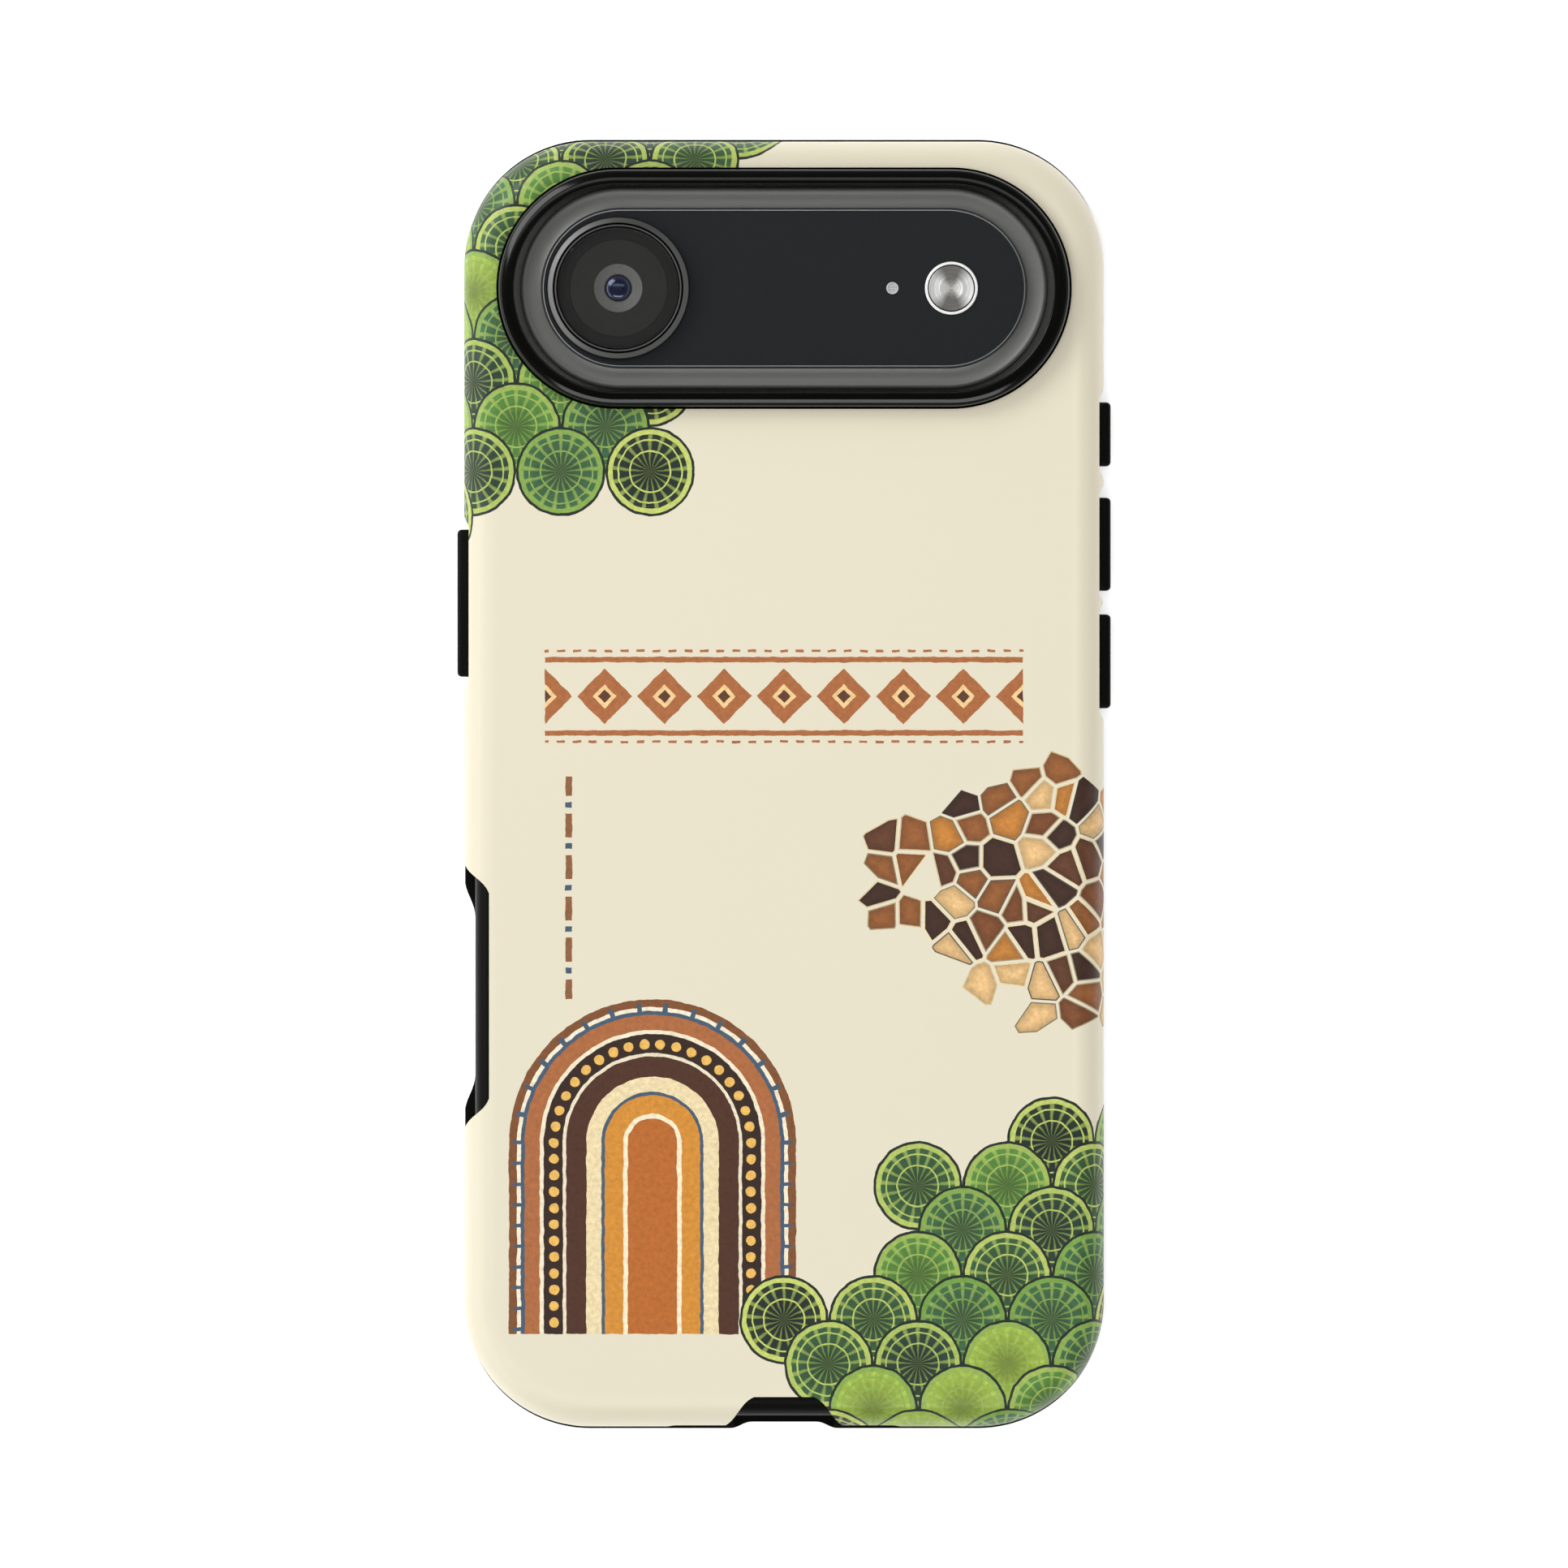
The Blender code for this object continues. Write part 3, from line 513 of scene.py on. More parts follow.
def make_plateau(made_of):
    """The phone's back glass, and the plateau on it that the camera bar is sunk in. The plateau is
    slightly dished between the bar and its brim."""
    edge = 0.5
    outer = PHONE_CORNER - 0.3
    back_top = PHONE_HIGH.z + SEAM + edge
    section = [
        (outer, back_top - edge),
        *arc((outer - edge, back_top - edge), edge, 0, 90, 6),
        (outer - edge - 0.3, back_top),
    ]
    plate = draw_round("back_glass", section, corner=(CORNER_X, CORNER_Y), steps=CORNER_STEPS)
    finish(plate, made_of, "back_glass", "phone_back")
    seat = BAR_RADIUS + SEAM
    brim = PLATEAU_RADIUS - edge
    bevel = 0.12
    width = brim - seat - bevel
    dish = 0.14
    dish_steps = 12
    dished = []
    for step in range(1, dish_steps):
        share = step / dish_steps
        dished.append((brim - width * share, PLATEAU_TOP - 4 * dish * share * (1 - share)))
    section = [
        (PLATEAU_RADIUS, back_top - edge / 2),
        *arc((brim, PLATEAU_TOP - edge), edge, 0, 90, 8),
        *dished,
        (seat + bevel, PLATEAU_TOP),
        (seat, PLATEAU_TOP - bevel),
        (seat, PLATEAU_TOP - 0.4),
    ]
    plateau = draw_round_camera("plateau", section, BAR_REACH)
    finish(plateau, made_of, "back_glass", "phone_back")


def make_camera_bar(made_of):
    """The dark glass bar with a ground chamfer, and seats for lens, flash and microphone."""
    section = [
        (BAR_RADIUS, BAR_LOW.z),
        (BAR_RADIUS, BAR_TOP - BAR_CHAMFER),
        (BAR_RADIUS - BAR_CHAMFER, BAR_TOP),
        (BAR_RADIUS - 2 * BAR_CHAMFER, BAR_TOP),
    ]
    bar = draw_round_camera("camera_bar_glass", section, BAR_REACH)
    seats = [
        ("lens_seat", LENS_X, LENS_RADIUS, RING_LOW.z),
        ("flash_seat", FLASH_X, FLASH_RADIUS, RIM_LOW.z),
        ("microphone_seat", MICROPHONE_X, MICROPHONE_RADIUS, MICROPHONE_LOW.z),
    ]
    cutters = []
    for name, x, radius, foot in seats:
        wall = radius + 0.1
        section = [(wall, foot - 0.1), (wall, BAR_TOP + CUT_MARGIN)]
        cutters.append(draw_round(name, section, (x, CAMERA_Y), steps=SMALL_STEPS * 2))
    cut(bar, cutters)
    finish(bar, made_of, "bar_glass", "camera_bar")


def turned(name, x, section, made_of, slot, node, steps=LENS_STEPS, capped=True):
    """A small piece turned about the upright line at (x, CAMERA_Y)."""
    piece = draw_round(name, section, (x, CAMERA_Y), steps=steps, capped=capped)
    finish(piece, made_of, slot, node)


def make_lens(ring_metal, clear_glass, barrel_black, coated_glass):
    """The camera: ring with its groove and lip, cover glass, barrel with its cone, and the element."""
    foot = RING_LOW.z
    top = RING_HIGH.z
    bore = GLASS_RADIUS + SEAM
    lip = GROOVE_INSIDE
    groove = lip + GROOVE_WIDTH
    groove_floor = top - 0.35
    lip_top = top - 0.05
    crown = 0.12
    bevel = 0.06
    ring = [
        (bore, foot),
        (LENS_RADIUS, foot),
        *arc((LENS_RADIUS - crown, top - 0.3 - crown), crown, 0, 66, 4),
        (groove + bevel, top),
        (groove, top - bevel),
        (groove, groove_floor),
        (lip, groove_floor),
        (lip, lip_top - bevel),
        (lip - bevel, lip_top),
        (bore + bevel, lip_top),
        (bore, lip_top - bevel),
        (bore, foot),
    ]
    turned("lens_ring_turned", LENS_X, ring, ring_metal, "lens_metal", "lens_ring", capped=False)
    glass_edge = 0.12
    cover = [
        (GLASS_RADIUS, COVER_LOW.z),
        *arc((GLASS_RADIUS - glass_edge, COVER_HIGH.z - glass_edge), glass_edge, 0, 90, 4),
        (GLASS_RADIUS - 0.3, COVER_HIGH.z),
    ]
    turned("cover_glass", LENS_X, cover, clear_glass, "lens_glass", "lens_cover")
    step_top = BARREL_HIGH.z - 0.12
    well_floor = ELEMENT_LOW.z - SEAM
    pupil = PUPIL_RADIUS + SEAM
    barrel = [
        (GLASS_RADIUS, foot),
        (GLASS_RADIUS, BARREL_HIGH.z),
        (STEP_RADIUS + 0.04, BARREL_HIGH.z),
        (STEP_RADIUS, BARREL_HIGH.z - 0.04),
        (STEP_RADIUS, step_top),
        (WELL_RADIUS + 0.06, step_top),
        (WELL_RADIUS, step_top - 0.04),
        (pupil, well_floor + 0.5),
        (pupil, well_floor),
    ]
    turned("barrel", LENS_X, barrel, barrel_black, "barrel_plastic", "lens_barrel")
    dome_foot = ELEMENT_LOW.z + FIT_GAP - SEAM
    rise = ELEMENT_HIGH.z - dome_foot
    dome = [(PUPIL_RADIUS, ELEMENT_LOW.z)]
    for across, up in arc((0.0, 0.0), 1.0, 0, 88, 14):
        dome.append((PUPIL_RADIUS * across, dome_foot + rise * up))
    turned("front_element", LENS_X, dome, coated_glass, "element_glass", "lens_element")


def make_flash(rim_metal, reflector):
    """The flash: a bright rim round a shallow reflector with two spun steps."""
    top = RIM_HIGH.z
    bore = DISH_RADIUS + SEAM
    crown = 0.1
    rim = [
        (bore, RIM_LOW.z),
        (FLASH_RADIUS, RIM_LOW.z),
        *arc((FLASH_RADIUS - crown, top - crown), crown, 0, 90, 4),
        (bore + 0.04, top),
        (bore, top - 0.04),
        (bore, RIM_LOW.z),
    ]
    turned("flash_rim_turned", FLASH_X, rim, rim_metal, "bright_metal", "flash_rim", capped=False)
    edge = DISH_HIGH.z
    middle = DISH_RADIUS / 2
    dish = [
        (DISH_RADIUS, DISH_LOW.z),
        (DISH_RADIUS, edge - 0.03),
        (DISH_RADIUS - 0.06, edge),
        (DISH_RADIUS - 0.16, edge - 0.04),
        (middle + 0.1, edge - 0.06),
        (middle + 0.05, edge - 0.04),
        (middle, edge - 0.06),
        (POLE, edge - 0.08),
    ]
    turned("flash_reflector", FLASH_X, dish, reflector, "reflector", "flash_lens")


def make_microphone(made_of):
    """The microphone: a bright ring round a sunk mesh."""
    top = MICROPHONE_HIGH.z
    mesh_top = top - 0.1
    outer_bevel = 0.05
    inner_bevel = 0.03
    section = [
        (MICROPHONE_RADIUS, MICROPHONE_LOW.z),
        (MICROPHONE_RADIUS, top - outer_bevel),
        (MICROPHONE_RADIUS - outer_bevel, top),
        (MESH_RADIUS + inner_bevel, top),
        (MESH_RADIUS, top - inner_bevel),
        (MESH_RADIUS, mesh_top),
        (POLE, mesh_top),
    ]
    slot = ("mesh_metal", "microphone", SMALL_STEPS)
    turned("microphone_port", MICROPHONE_X, section, made_of, *slot)


def linear(hex_colour):
    """An sRGB hex colour such as "#EFE6D0", turned into linear light."""
    channels = [int(hex_colour[i : i + 2], 16) / 255 for i in (1, 3, 5)]
    turned_linear = [c / 12.92 if c <= 0.04045 else ((c + 0.055) / 1.055) ** 2.4 for c in channels]
    return (*turned_linear, 1.0)


def add(tree, kind, *values, **settings):
    """Adds a node. Its kind may end with its mode, as in "Math ADD", "Mix RGBA" or "ValToRGB CONSTANT".
    Values go to its inputs in order, and None skips one. Settings go to the input or the property of
    that name, and stops are a ramp's places and colours. A value is a number, a hex colour, a socket,
    or a node whose first output is meant."""
    kind, _, mode = kind.partition(" ")
    node = tree.nodes.new("ShaderNode" + kind)
    if mode and kind == "ValToRGB":
        node.color_ramp.interpolation = mode
    elif mode:
        setattr(node, "data_type" if kind == "Mix" else "operation", mode)
    stops = settings.pop("stops", [])
    named = {name: settings.pop(name) for name in list(settings) if name[0].isupper()}
    for name, setting in settings.items():
        setattr(node, name, setting)
    inputs = [socket for socket in node.inputs if socket.enabled]
    given = list(zip(inputs, values)) + [(node.inputs[name], value) for name, value in named.items()]
    for socket, value in given:
        if isinstance(value, bpy.types.Node):
            value = next(output for output in value.outputs if output.enabled)
        if isinstance(value, str):
            value = linear(value)
        if isinstance(value, bpy.types.NodeSocket):
            tree.links.new(value, socket)
        elif value is not None:
            socket.default_value = value
    for index, (place, colour) in enumerate(stops):
        elements = node.color_ramp.elements
        element = elements[index] if index < 2 else elements.new(place)
        element.position = place
        element.color = linear(colour)
    return node


def blank_material(name):
    """An empty material, the function that adds to it, and its object's place in millimetres."""
    made = bpy.data.materials.new(name)
    made.use_nodes = True
    made.node_tree.nodes.clear()
    put = partial(add, made.node_tree)
    place = put("VectorMath SCALE", put("TexCoord").outputs["Object"], 1 / MM)
    return made, put, place


def from_axis(put, place, x):
    """How the surface's place lies from the upright line at (x, CAMERA_Y), without its height."""
    out = put("VectorMath SUBTRACT", place, (x, CAMERA_Y, 0.0))
    return put("VectorMath MULTIPLY", out, (1.0, 1.0, 0.0))


def varied(put, noise, tones, roughnesses):
    """A tone and a roughness that both follow a noise, between two values each."""
    tone = put("Mix RGBA", noise, *tones)
    return tone, put("MapRange", noise, 0.3, 0.7, *roughnesses)


# The print: sizes in millimetres on the back, which X and Y run across
FAN_RADIUS = 5.6
FAN_PATCHES = [((-45.0, 72.0), 45.0), ((44.0, -86.0), 49.0)]
CHIP_SIZE = 3.7
CHIP_MIDDLE = (44.0, -14.0)
CHIP_REACH = (36.0, 18.0)
ARCH_X = -16.5
ARCH_SPRING = -45.0
ARCH_FOOT = -69.0
ARCH_RADIUS = 18.0
BEAD_RADIUS = 12.35
BEAD_PITCH = 2.05
BAND_Y = 11.0
BAND_REACH = 30.0
LOZENGE_PITCH = 7.5
LOZENGE_HEIGHT = 7.6
STITCH_X = -27.0
STITCH_ENDS = (-27.0, 1.0)

FAN_GREENS = [
    (0.0, "#18281F"),
    (0.16, "#2C5230"),
    (0.34, "#1F3A2B"),
    (0.5, "#4E7F33"),
    (0.66, "#8FA93C"),
    (0.82, "#355F3A"),
]
CHIP_BROWNS = [
    (0.0, "#3A2115"),
    (0.22, "#8A5326"),
    (0.42, "#5A341D"),
    (0.6, "#B9782F"),
    (0.76, "#D9B27A"),
    (0.9, "#74421F"),
]
ARCH_BANDS = [
    (0.0, "#B5651F"),
    (0.17, "#F3E6C4"),
    (0.2, "#D08A2B"),
    (0.33, "#41566B"),
    (0.355, "#E9D6A8"),
    (0.46, "#4A2816"),
    (0.6, "#E8DCC0"),
    (0.625, "#2F1A10"),
    (0.755, "#EFE3C6"),
    (0.785, "#A96536"),
    (0.89, "#41566B"),
    (0.915, "#F0E6CC"),
    (0.945, "#7C4A24"),
]


def from_nearest(put, along):
    """The nearest whole number, and how far past it a coordinate is."""
    nearest = put("Math ROUND", along)
    return nearest, put("Math SUBTRACT", along, nearest)


def apart(put, coordinate, middle):
    """How far a coordinate is from a middle, on either side of it."""
    return put("Math ABSOLUTE", put("Math SUBTRACT", coordinate, middle))


def fan_print(put, x, y):
    """Rows of overlapping scalloped fans in greens, in two corners. Gives their colour and mask."""
    across = put("Math DIVIDE", x, 2 * FAN_RADIUS)
    up = put("Math DIVIDE", y, FAN_RADIUS)
    front_row = put("Math FLOOR", up)
    rows = []
    for further in (0.0, 1.0):
        row = put("Math ADD", front_row, further)
        odd = put("Math FLOORED_MODULO", row, 2.0)
        shift = put("Math MULTIPLY", odd, 0.5)
        along = put("Math ADD", across, shift)
        column, from_column = from_nearest(put, along)
        side = put("Math MULTIPLY", from_column, 2.0)
        rise = put("Math SUBTRACT", up, row)
        reach = put("VectorMath LENGTH", put("CombineXYZ", side, rise))
        lottery = put("TexWhiteNoise", put("CombineXYZ", column, row), noise_dimensions="2D")
        middle_x = put("Math SUBTRACT", column, shift)
        middle_x = put("Math MULTIPLY", middle_x, 2 * FAN_RADIUS)
        middle_y = put("Math MULTIPLY", row, FAN_RADIUS)
        middle = put("CombineXYZ", middle_x, middle_y)
        chance = put("Math MULTIPLY", lottery, 9.0)
        patches = []
        for patch_middle, patch_radius in FAN_PATCHES:
            distance = put("VectorMath DISTANCE", middle, (*patch_middle, 0.0))
            frayed = put("Math ADD", distance, chance)
            patches.append(put("Math LESS_THAN", frayed, patch_radius))
        in_patch = put("Math MAXIMUM", *patches)
        in_fan = put("Math LESS_THAN", reach, 1.0)
        mask = put("Math MULTIPLY", in_patch, in_fan)
        angle = put("Math ARCTAN2", side, rise)
        rows.append((put("CombineXYZ", reach, angle, lottery), mask))
    (front, front_mask), (back, back_mask) = rows
    seen = put("Mix VECTOR", front_mask, back, front)
    mask = put("Math MAXIMUM", front_mask, back_mask)
    parts = put("SeparateXYZ", seen)
    reach, angle, lottery = parts.outputs
    tone = put("ValToRGB CONSTANT", lottery, stops=FAN_GREENS)
    ribs = put("Math COSINE", put("Math MULTIPLY", angle, 17.0))
    ribs = put("MapRange", ribs, 0.3, 0.9, 0.0, 0.5)
    ribbed = put("Mix RGBA", ribs, tone, "#A9BF58")
    shade = put("MapRange", reach, 0.1, 0.8, 0.55, 1.15)
    shaded = put("VectorMath SCALE", ribbed, shade)
    rings = put(
        "ValToRGB CONSTANT",
        reach,
        stops=[
            (0.0, "#000000"),
            (0.44, "#FFFFFF"),
            (0.475, "#000000"),
            (0.69, "#FFFFFF"),
            (0.725, "#000000"),
            (0.83, "#FFFFFF"),
        ],
    )
    rim = put("Mix RGBA", lottery, "#C5CF6B", "#6E9A3E")
    lined = put("Mix RGBA", rings, shaded, rim)
    edge = put("Math GREATER_THAN", reach, 0.94)
    return put("Mix RGBA", edge, lined, "#14231B"), mask


def chip_print(put, flat_place):
    """Angular chips in browns on the right side, which thin out from the edge. Colour and mask."""
    sizes = {"voronoi_dimensions": "2D", "Scale": 1 / CHIP_SIZE, "Randomness": 0.92}
    chip = put("TexVoronoi", flat_place, **sizes)
    border = put("TexVoronoi", flat_place, feature="DISTANCE_TO_EDGE", **sizes)
    lot, chance, turn = put("SeparateXYZ", chip.outputs["Color"]).outputs
    from_middle = put("VectorMath SUBTRACT", chip.outputs["Position"], (*CHIP_MIDDLE, 0.0))
    scaled = put("VectorMath DIVIDE", from_middle, (*CHIP_REACH, 1.0))
    distance = put("VectorMath LENGTH", scaled)
    thinned = put("Math MULTIPLY_ADD", chance, 0.32, distance)
    kept = put("Math LESS_THAN", thinned, 1.05)
    inside = put("Math GREATER_THAN", border, 0.045)
    tone = put("ValToRGB CONSTANT", lot, stops=CHIP_BROWNS)
    facet = put("MapRange", border, 0.05, 0.4, 0.72, 1.2)
    faceted = put("VectorMath SCALE", tone, facet)
    keyline = put("Math LESS_THAN", border, 0.085)
    tinted = put("Mix RGBA", turn, "#F0D9A8", "#2B1810")
    colour = put("Mix RGBA", keyline, faceted, tinted)
    return colour, put("Math MULTIPLY", kept, inside)


def arch_print(put, x, y):
    """Nested arches on straight legs, with a row of beads on the dark band. Colour and mask."""
    side = apart(put, x, ARCH_X)
    rise = put("Math SUBTRACT", y, ARCH_SPRING)
    above = put("Math MAXIMUM", rise, 0.0)
    below = put("Math MINIMUM", rise, 0.0)
    distance = put("VectorMath LENGTH", put("CombineXYZ", side, above))
    share = put("Math DIVIDE", distance, ARCH_RADIUS)
    bands = put("ValToRGB CONSTANT", share, stops=ARCH_BANDS)
    angle = put("Math ARCTAN2", above, side)
    along = put("Math MULTIPLY_ADD", angle, BEAD_RADIUS, below)
    _, beat = from_nearest(put, put("Math DIVIDE", along, BEAD_PITCH))
    off = put("Math MULTIPLY", beat, BEAD_PITCH)
    out = put("Math SUBTRACT", distance, BEAD_RADIUS)
    from_bead = put("VectorMath LENGTH", put("CombineXYZ", off, out))
    bead = put("Math LESS_THAN", from_bead, 0.62)
    beaded = put("Mix RGBA", bead, bands, "#E7B65A")
    tick = put("Math LESS_THAN", put("Math PINGPONG", along, 1.3), 0.22)
    on_edge = put("Math LESS_THAN", apart(put, distance, 0.945 * ARCH_RADIUS), 0.5)
    ticks = put("Math MULTIPLY", tick, on_edge)
    ticked = put("Mix RGBA", ticks, beaded, "#41566B")
    within = put("Math LESS_THAN", distance, ARCH_RADIUS)
    standing = put("Math GREATER_THAN", y, ARCH_FOOT)
    return ticked, put("Math MULTIPLY", within, standing)


def band_print(put, x, y):
    """A band of terracotta lozenges between ruled lines. Colour and mask."""
    _, beat = from_nearest(put, put("Math DIVIDE", x, LOZENGE_PITCH))
    off = put("Math ABSOLUTE", beat)
    rise = apart(put, y, BAND_Y)
    slope = put("Math DIVIDE", rise, LOZENGE_HEIGHT)
    lozenge = put("Math ADD", off, slope)
    outer = put("Math LESS_THAN", lozenge, 0.46)
    hollow = put("Math LESS_THAN", lozenge, 0.2)
    core = put("Math LESS_THAN", lozenge, 0.11)
    wide_line = put("Math COMPARE", rise, 4.6, 0.34)
    thin_line = put("Math COMPARE", rise, 5.7, 0.16)
    dash = put("Math LESS_THAN", put("Math PINGPONG", x, 1.0), 0.5)
    dashes = put("Math MULTIPLY", thin_line, dash)
    lines = put("Math MAXIMUM", wide_line, dashes)
    within = put("Math LESS_THAN", put("Math ABSOLUTE", x), BAND_REACH)
    inked = put("Math MAXIMUM", outer, lines)
    paled = put("Mix RGBA", hollow, "#A96536", "#EFC98E")
    colour = put("Mix RGBA", core, paled, "#5B3420")
    return colour, put("Math MULTIPLY", inked, within)


def stitch_print(put, x, y):
    """A broken line down the left side, of long and short dashes. Colour and mask."""
    near = put("Math COMPARE", x, STITCH_X, 0.42)
    beat = put("Math PINGPONG", y, 2.6)
    long_dash = put("Math LESS_THAN", beat, 1.5)
    short_dash = put("Math GREATER_THAN", beat, 2.25)
    dashes = put("Math MAXIMUM", long_dash, short_dash)
    above = put("Math GREATER_THAN", y, STITCH_ENDS[0])
    below = put("Math LESS_THAN", y, STITCH_ENDS[1])
    within = put("Math MULTIPLY", above, below)
    mask = put("Math MULTIPLY", put("Math MULTIPLY", near, dashes), within)
    return put("Mix RGBA", long_dash, "#41566B", "#8A5A34"), mask


def unrolled(put, place):
    """X and Y of the shell's surface once its rounded edges and walls are rolled out flat, so that the
    print runs down over them without stretching."""
    x, y, z = put("SeparateXYZ", place).outputs
    flat = put("CombineXYZ", x, y)
    beyond = put("VectorMath ABSOLUTE", flat)
    beyond = put("VectorMath SUBTRACT", beyond, (CORNER_X, CORNER_Y, 0.0))
    beyond = put("VectorMath MAXIMUM", beyond, (0.0, 0.0, 0.0))
    side = put("VectorMath SIGN", flat)
    beyond = put("VectorMath MULTIPLY", beyond, side)
    radius = put("VectorMath LENGTH", beyond)
    level = PHONE_CORNER + SHOULDER_CENTRE
    over = put("Math MAXIMUM", put("Math SUBTRACT", radius, level), 0.0)
    above = put("Math MAXIMUM", put("Math SUBTRACT", z, SHOULDER_FOOT), 0.0)
    below = put("Math MAXIMUM", put("Math SUBTRACT", SHOULDER_FOOT, z), 0.0)
    bend = put("Math ARCTAN2", over, above)
    wall = put("Math MULTIPLY_ADD", bend, SHOULDER, below)
    further = put("Math SUBTRACT", wall, over)
    out = put("VectorMath SCALE", put("VectorMath NORMALIZE", beyond), further)
    return put("VectorMath ADD", flat, out)


def printed_polycarbonate():
    """Polycarbonate, injection moulded in cream and printed with cured ink under a satin lacquer. The
    mould's fine texture breaks up the shine, and the ink stands a few hundredths proud."""
    made, put, place = blank_material("polycarbonate moulded and ink printed")
    flat_place = unrolled(put, place)
    warp = put("TexNoise", place, 0.7, 2.0)
    warp = put("VectorMath SUBTRACT", warp.outputs["Color"], (0.5, 0.5, 0.5))
    warp = put("VectorMath SCALE", warp, 0.35)
    drawn = put("VectorMath ADD", flat_place, warp)
    hand_x, hand_y, _ = put("SeparateXYZ", drawn).outputs
    cloud = put("TexNoise", place, 0.03, 2.0)
    ground = put("Mix RGBA", cloud, "#E0D8C0", "#E2DBC4")
    inks = [
        stitch_print(put, hand_x, hand_y),
        band_print(put, hand_x, hand_y),
        chip_print(put, flat_place),
        arch_print(put, hand_x, hand_y),
        fan_print(put, hand_x, hand_y),
    ]
    mottle = put("TexNoise", place, 1.6, 5.0, 0.65)
    mottle = put("MapRange", mottle, 0.3, 0.7, 0.82, 1.16)
    colour = ground
    inked = 0.0
    for ink, mask in inks:
        worked = put("VectorMath SCALE", ink, mottle)
        colour = put("Mix RGBA", mask, colour, worked)
        inked = put("Math MAXIMUM", mask, inked)
    grain = put("TexNoise", place, 2.4, 3.0, 0.6)
    roughness = put("MapRange", grain, 0.3, 0.7, 0.36, 0.44)
    roughness = put("Math MULTIPLY_ADD", inked, 0.05, roughness)
    relief = put("Math MULTIPLY_ADD", inked, 0.35, grain)
    bump = put("Bump", 0.35, 0.012 * MM, 1.0, relief)
    put("OutputMaterial", put("BsdfPrincipled", colour, 0.0, roughness, 1.58, 1.0, bump))
    return made


def moulded_rubber(finish_name, roughness_range, shine):
    """Thermoplastic rubber, moulded black. A sparked tool leaves the tray a soft broad shine with a
    slight grain, and a smoother one leaves the camera rim glossy."""
    made, put, place = blank_material(f"thermoplastic rubber moulded {finish_name}")
    grain = put("TexNoise", place, 3.2, 3.0, 0.6)
    cloud = put("TexNoise", place, 0.15, 2.0)
    tone = put("Mix RGBA", cloud, "#060605", "#0A0A09")
    roughness = put("MapRange", grain, 0.3, 0.7, *roughness_range)
    bump = put("Bump", 0.15, 0.01 * MM, 1.0, grain)
    level = {"Specular IOR Level": shine}
    put("OutputMaterial", put("BsdfPrincipled", tone, 0.0, roughness, 1.5, 1.0, bump, **level))
    return made


def frosted_back_glass():
    """Glass, acid-etched on its face over an ink of metal flake. The etch gives a soft grey with a very
    fine sparkle, and the flake makes it darker or lighter as it turns from the light."""
    made, put, place = blank_material("back glass acid etched on flake ink")
    etch = put("TexNoise", place, 6.0, 2.0, 0.6)
    tone, roughness = varied(put, etch, ("#787876", "#848481"), (0.36, 0.44))
    bump = put("Bump", 0.15, 0.01 * MM, 1.0, etch)
    put("OutputMaterial", put("BsdfPrincipled", tone, 0.7, roughness, 1.5, 1.0, bump))
    return made


def dark_bar_glass():
    """Glass, dyed blue-black and lightly etched, with its edge ground. It looks nearly black with a soft
    sheen, and its chamfer is painted as a thin pale line: partly the ground edge's own tone, partly a
    painted highlight."""
    made, put, place = blank_material("bar glass lightly etched")
    etch = put("TexNoise", place, 5.0, 2.0, 0.6)
    tone, roughness = varied(put, etch, ("#17191B", "#1B1E20"), (0.3, 0.38))
    height = put("SeparateXYZ", place).outputs["Z"]
    # The chamfer band is painted pale: partly the ground edge's own tone, partly a painted highlight
    # along it
    chamfer = put("Math COMPARE", height, BAR_TOP - BAR_CHAMFER / 2, BAR_CHAMFER / 2 - 0.01)
    tone = put("Mix RGBA", chamfer, tone, "#A3A6A8")
    bump = put("Bump", 0.08, 0.01 * MM, 1.0, etch)
    shine = {"Specular IOR Level": 0.3}
    put("OutputMaterial", put("BsdfPrincipled", tone, 0.0, roughness, 1.5, 1.0, bump, **shine))
    return made


def turned_ring_metal():
    """Aluminium, diamond turned and anodised dark grey. Fine rings of tool marks spread its shine, and
    its groove is painted near black, as painted shade, which draws a dark line round it."""
    made, put, place = blank_material("aluminium turned and anodised dark")
    radius = put("VectorMath LENGTH", from_axis(put, place, LENS_X))
    # Real turning marks are 0.02 mm apart. They are drawn five times as coarse, to show.
    marks = put("TexNoise", put("CombineXYZ", radius), 10.0, 2.0)
    tone, roughness = varied(put, marks, ("#767675", "#8C8C8A"), (0.4, 0.5))
    half = GROOVE_WIDTH / 2
    # Painted shade: the groove is coloured near black for the shade in its depth
    groove_shade = put("Math COMPARE", radius, GROOVE_INSIDE + half, half)
    tone = put("Mix RGBA", groove_shade, tone, "#0C0C0C")
    bump = put("Bump", 0.2, 0.01 * MM, 1.0, marks)
    put("OutputMaterial", put("BsdfPrincipled", tone, 1.0, roughness, Normal=bump))
    return made


def polished_cover_glass():
    """Sapphire-like cover glass, polished and lightly coated. It is clear, with a sharp reflection."""
    made, put, place = blank_material("cover glass polished")
    smear = put("TexNoise", place, 0.4, 2.0)
    roughness = put("MapRange", smear, 0.3, 0.7, 0.02, 0.05)
    put("OutputMaterial", put("BsdfPrincipled", "#0C0C0D", 0.0, roughness, 1.77, 0.2))
    return made


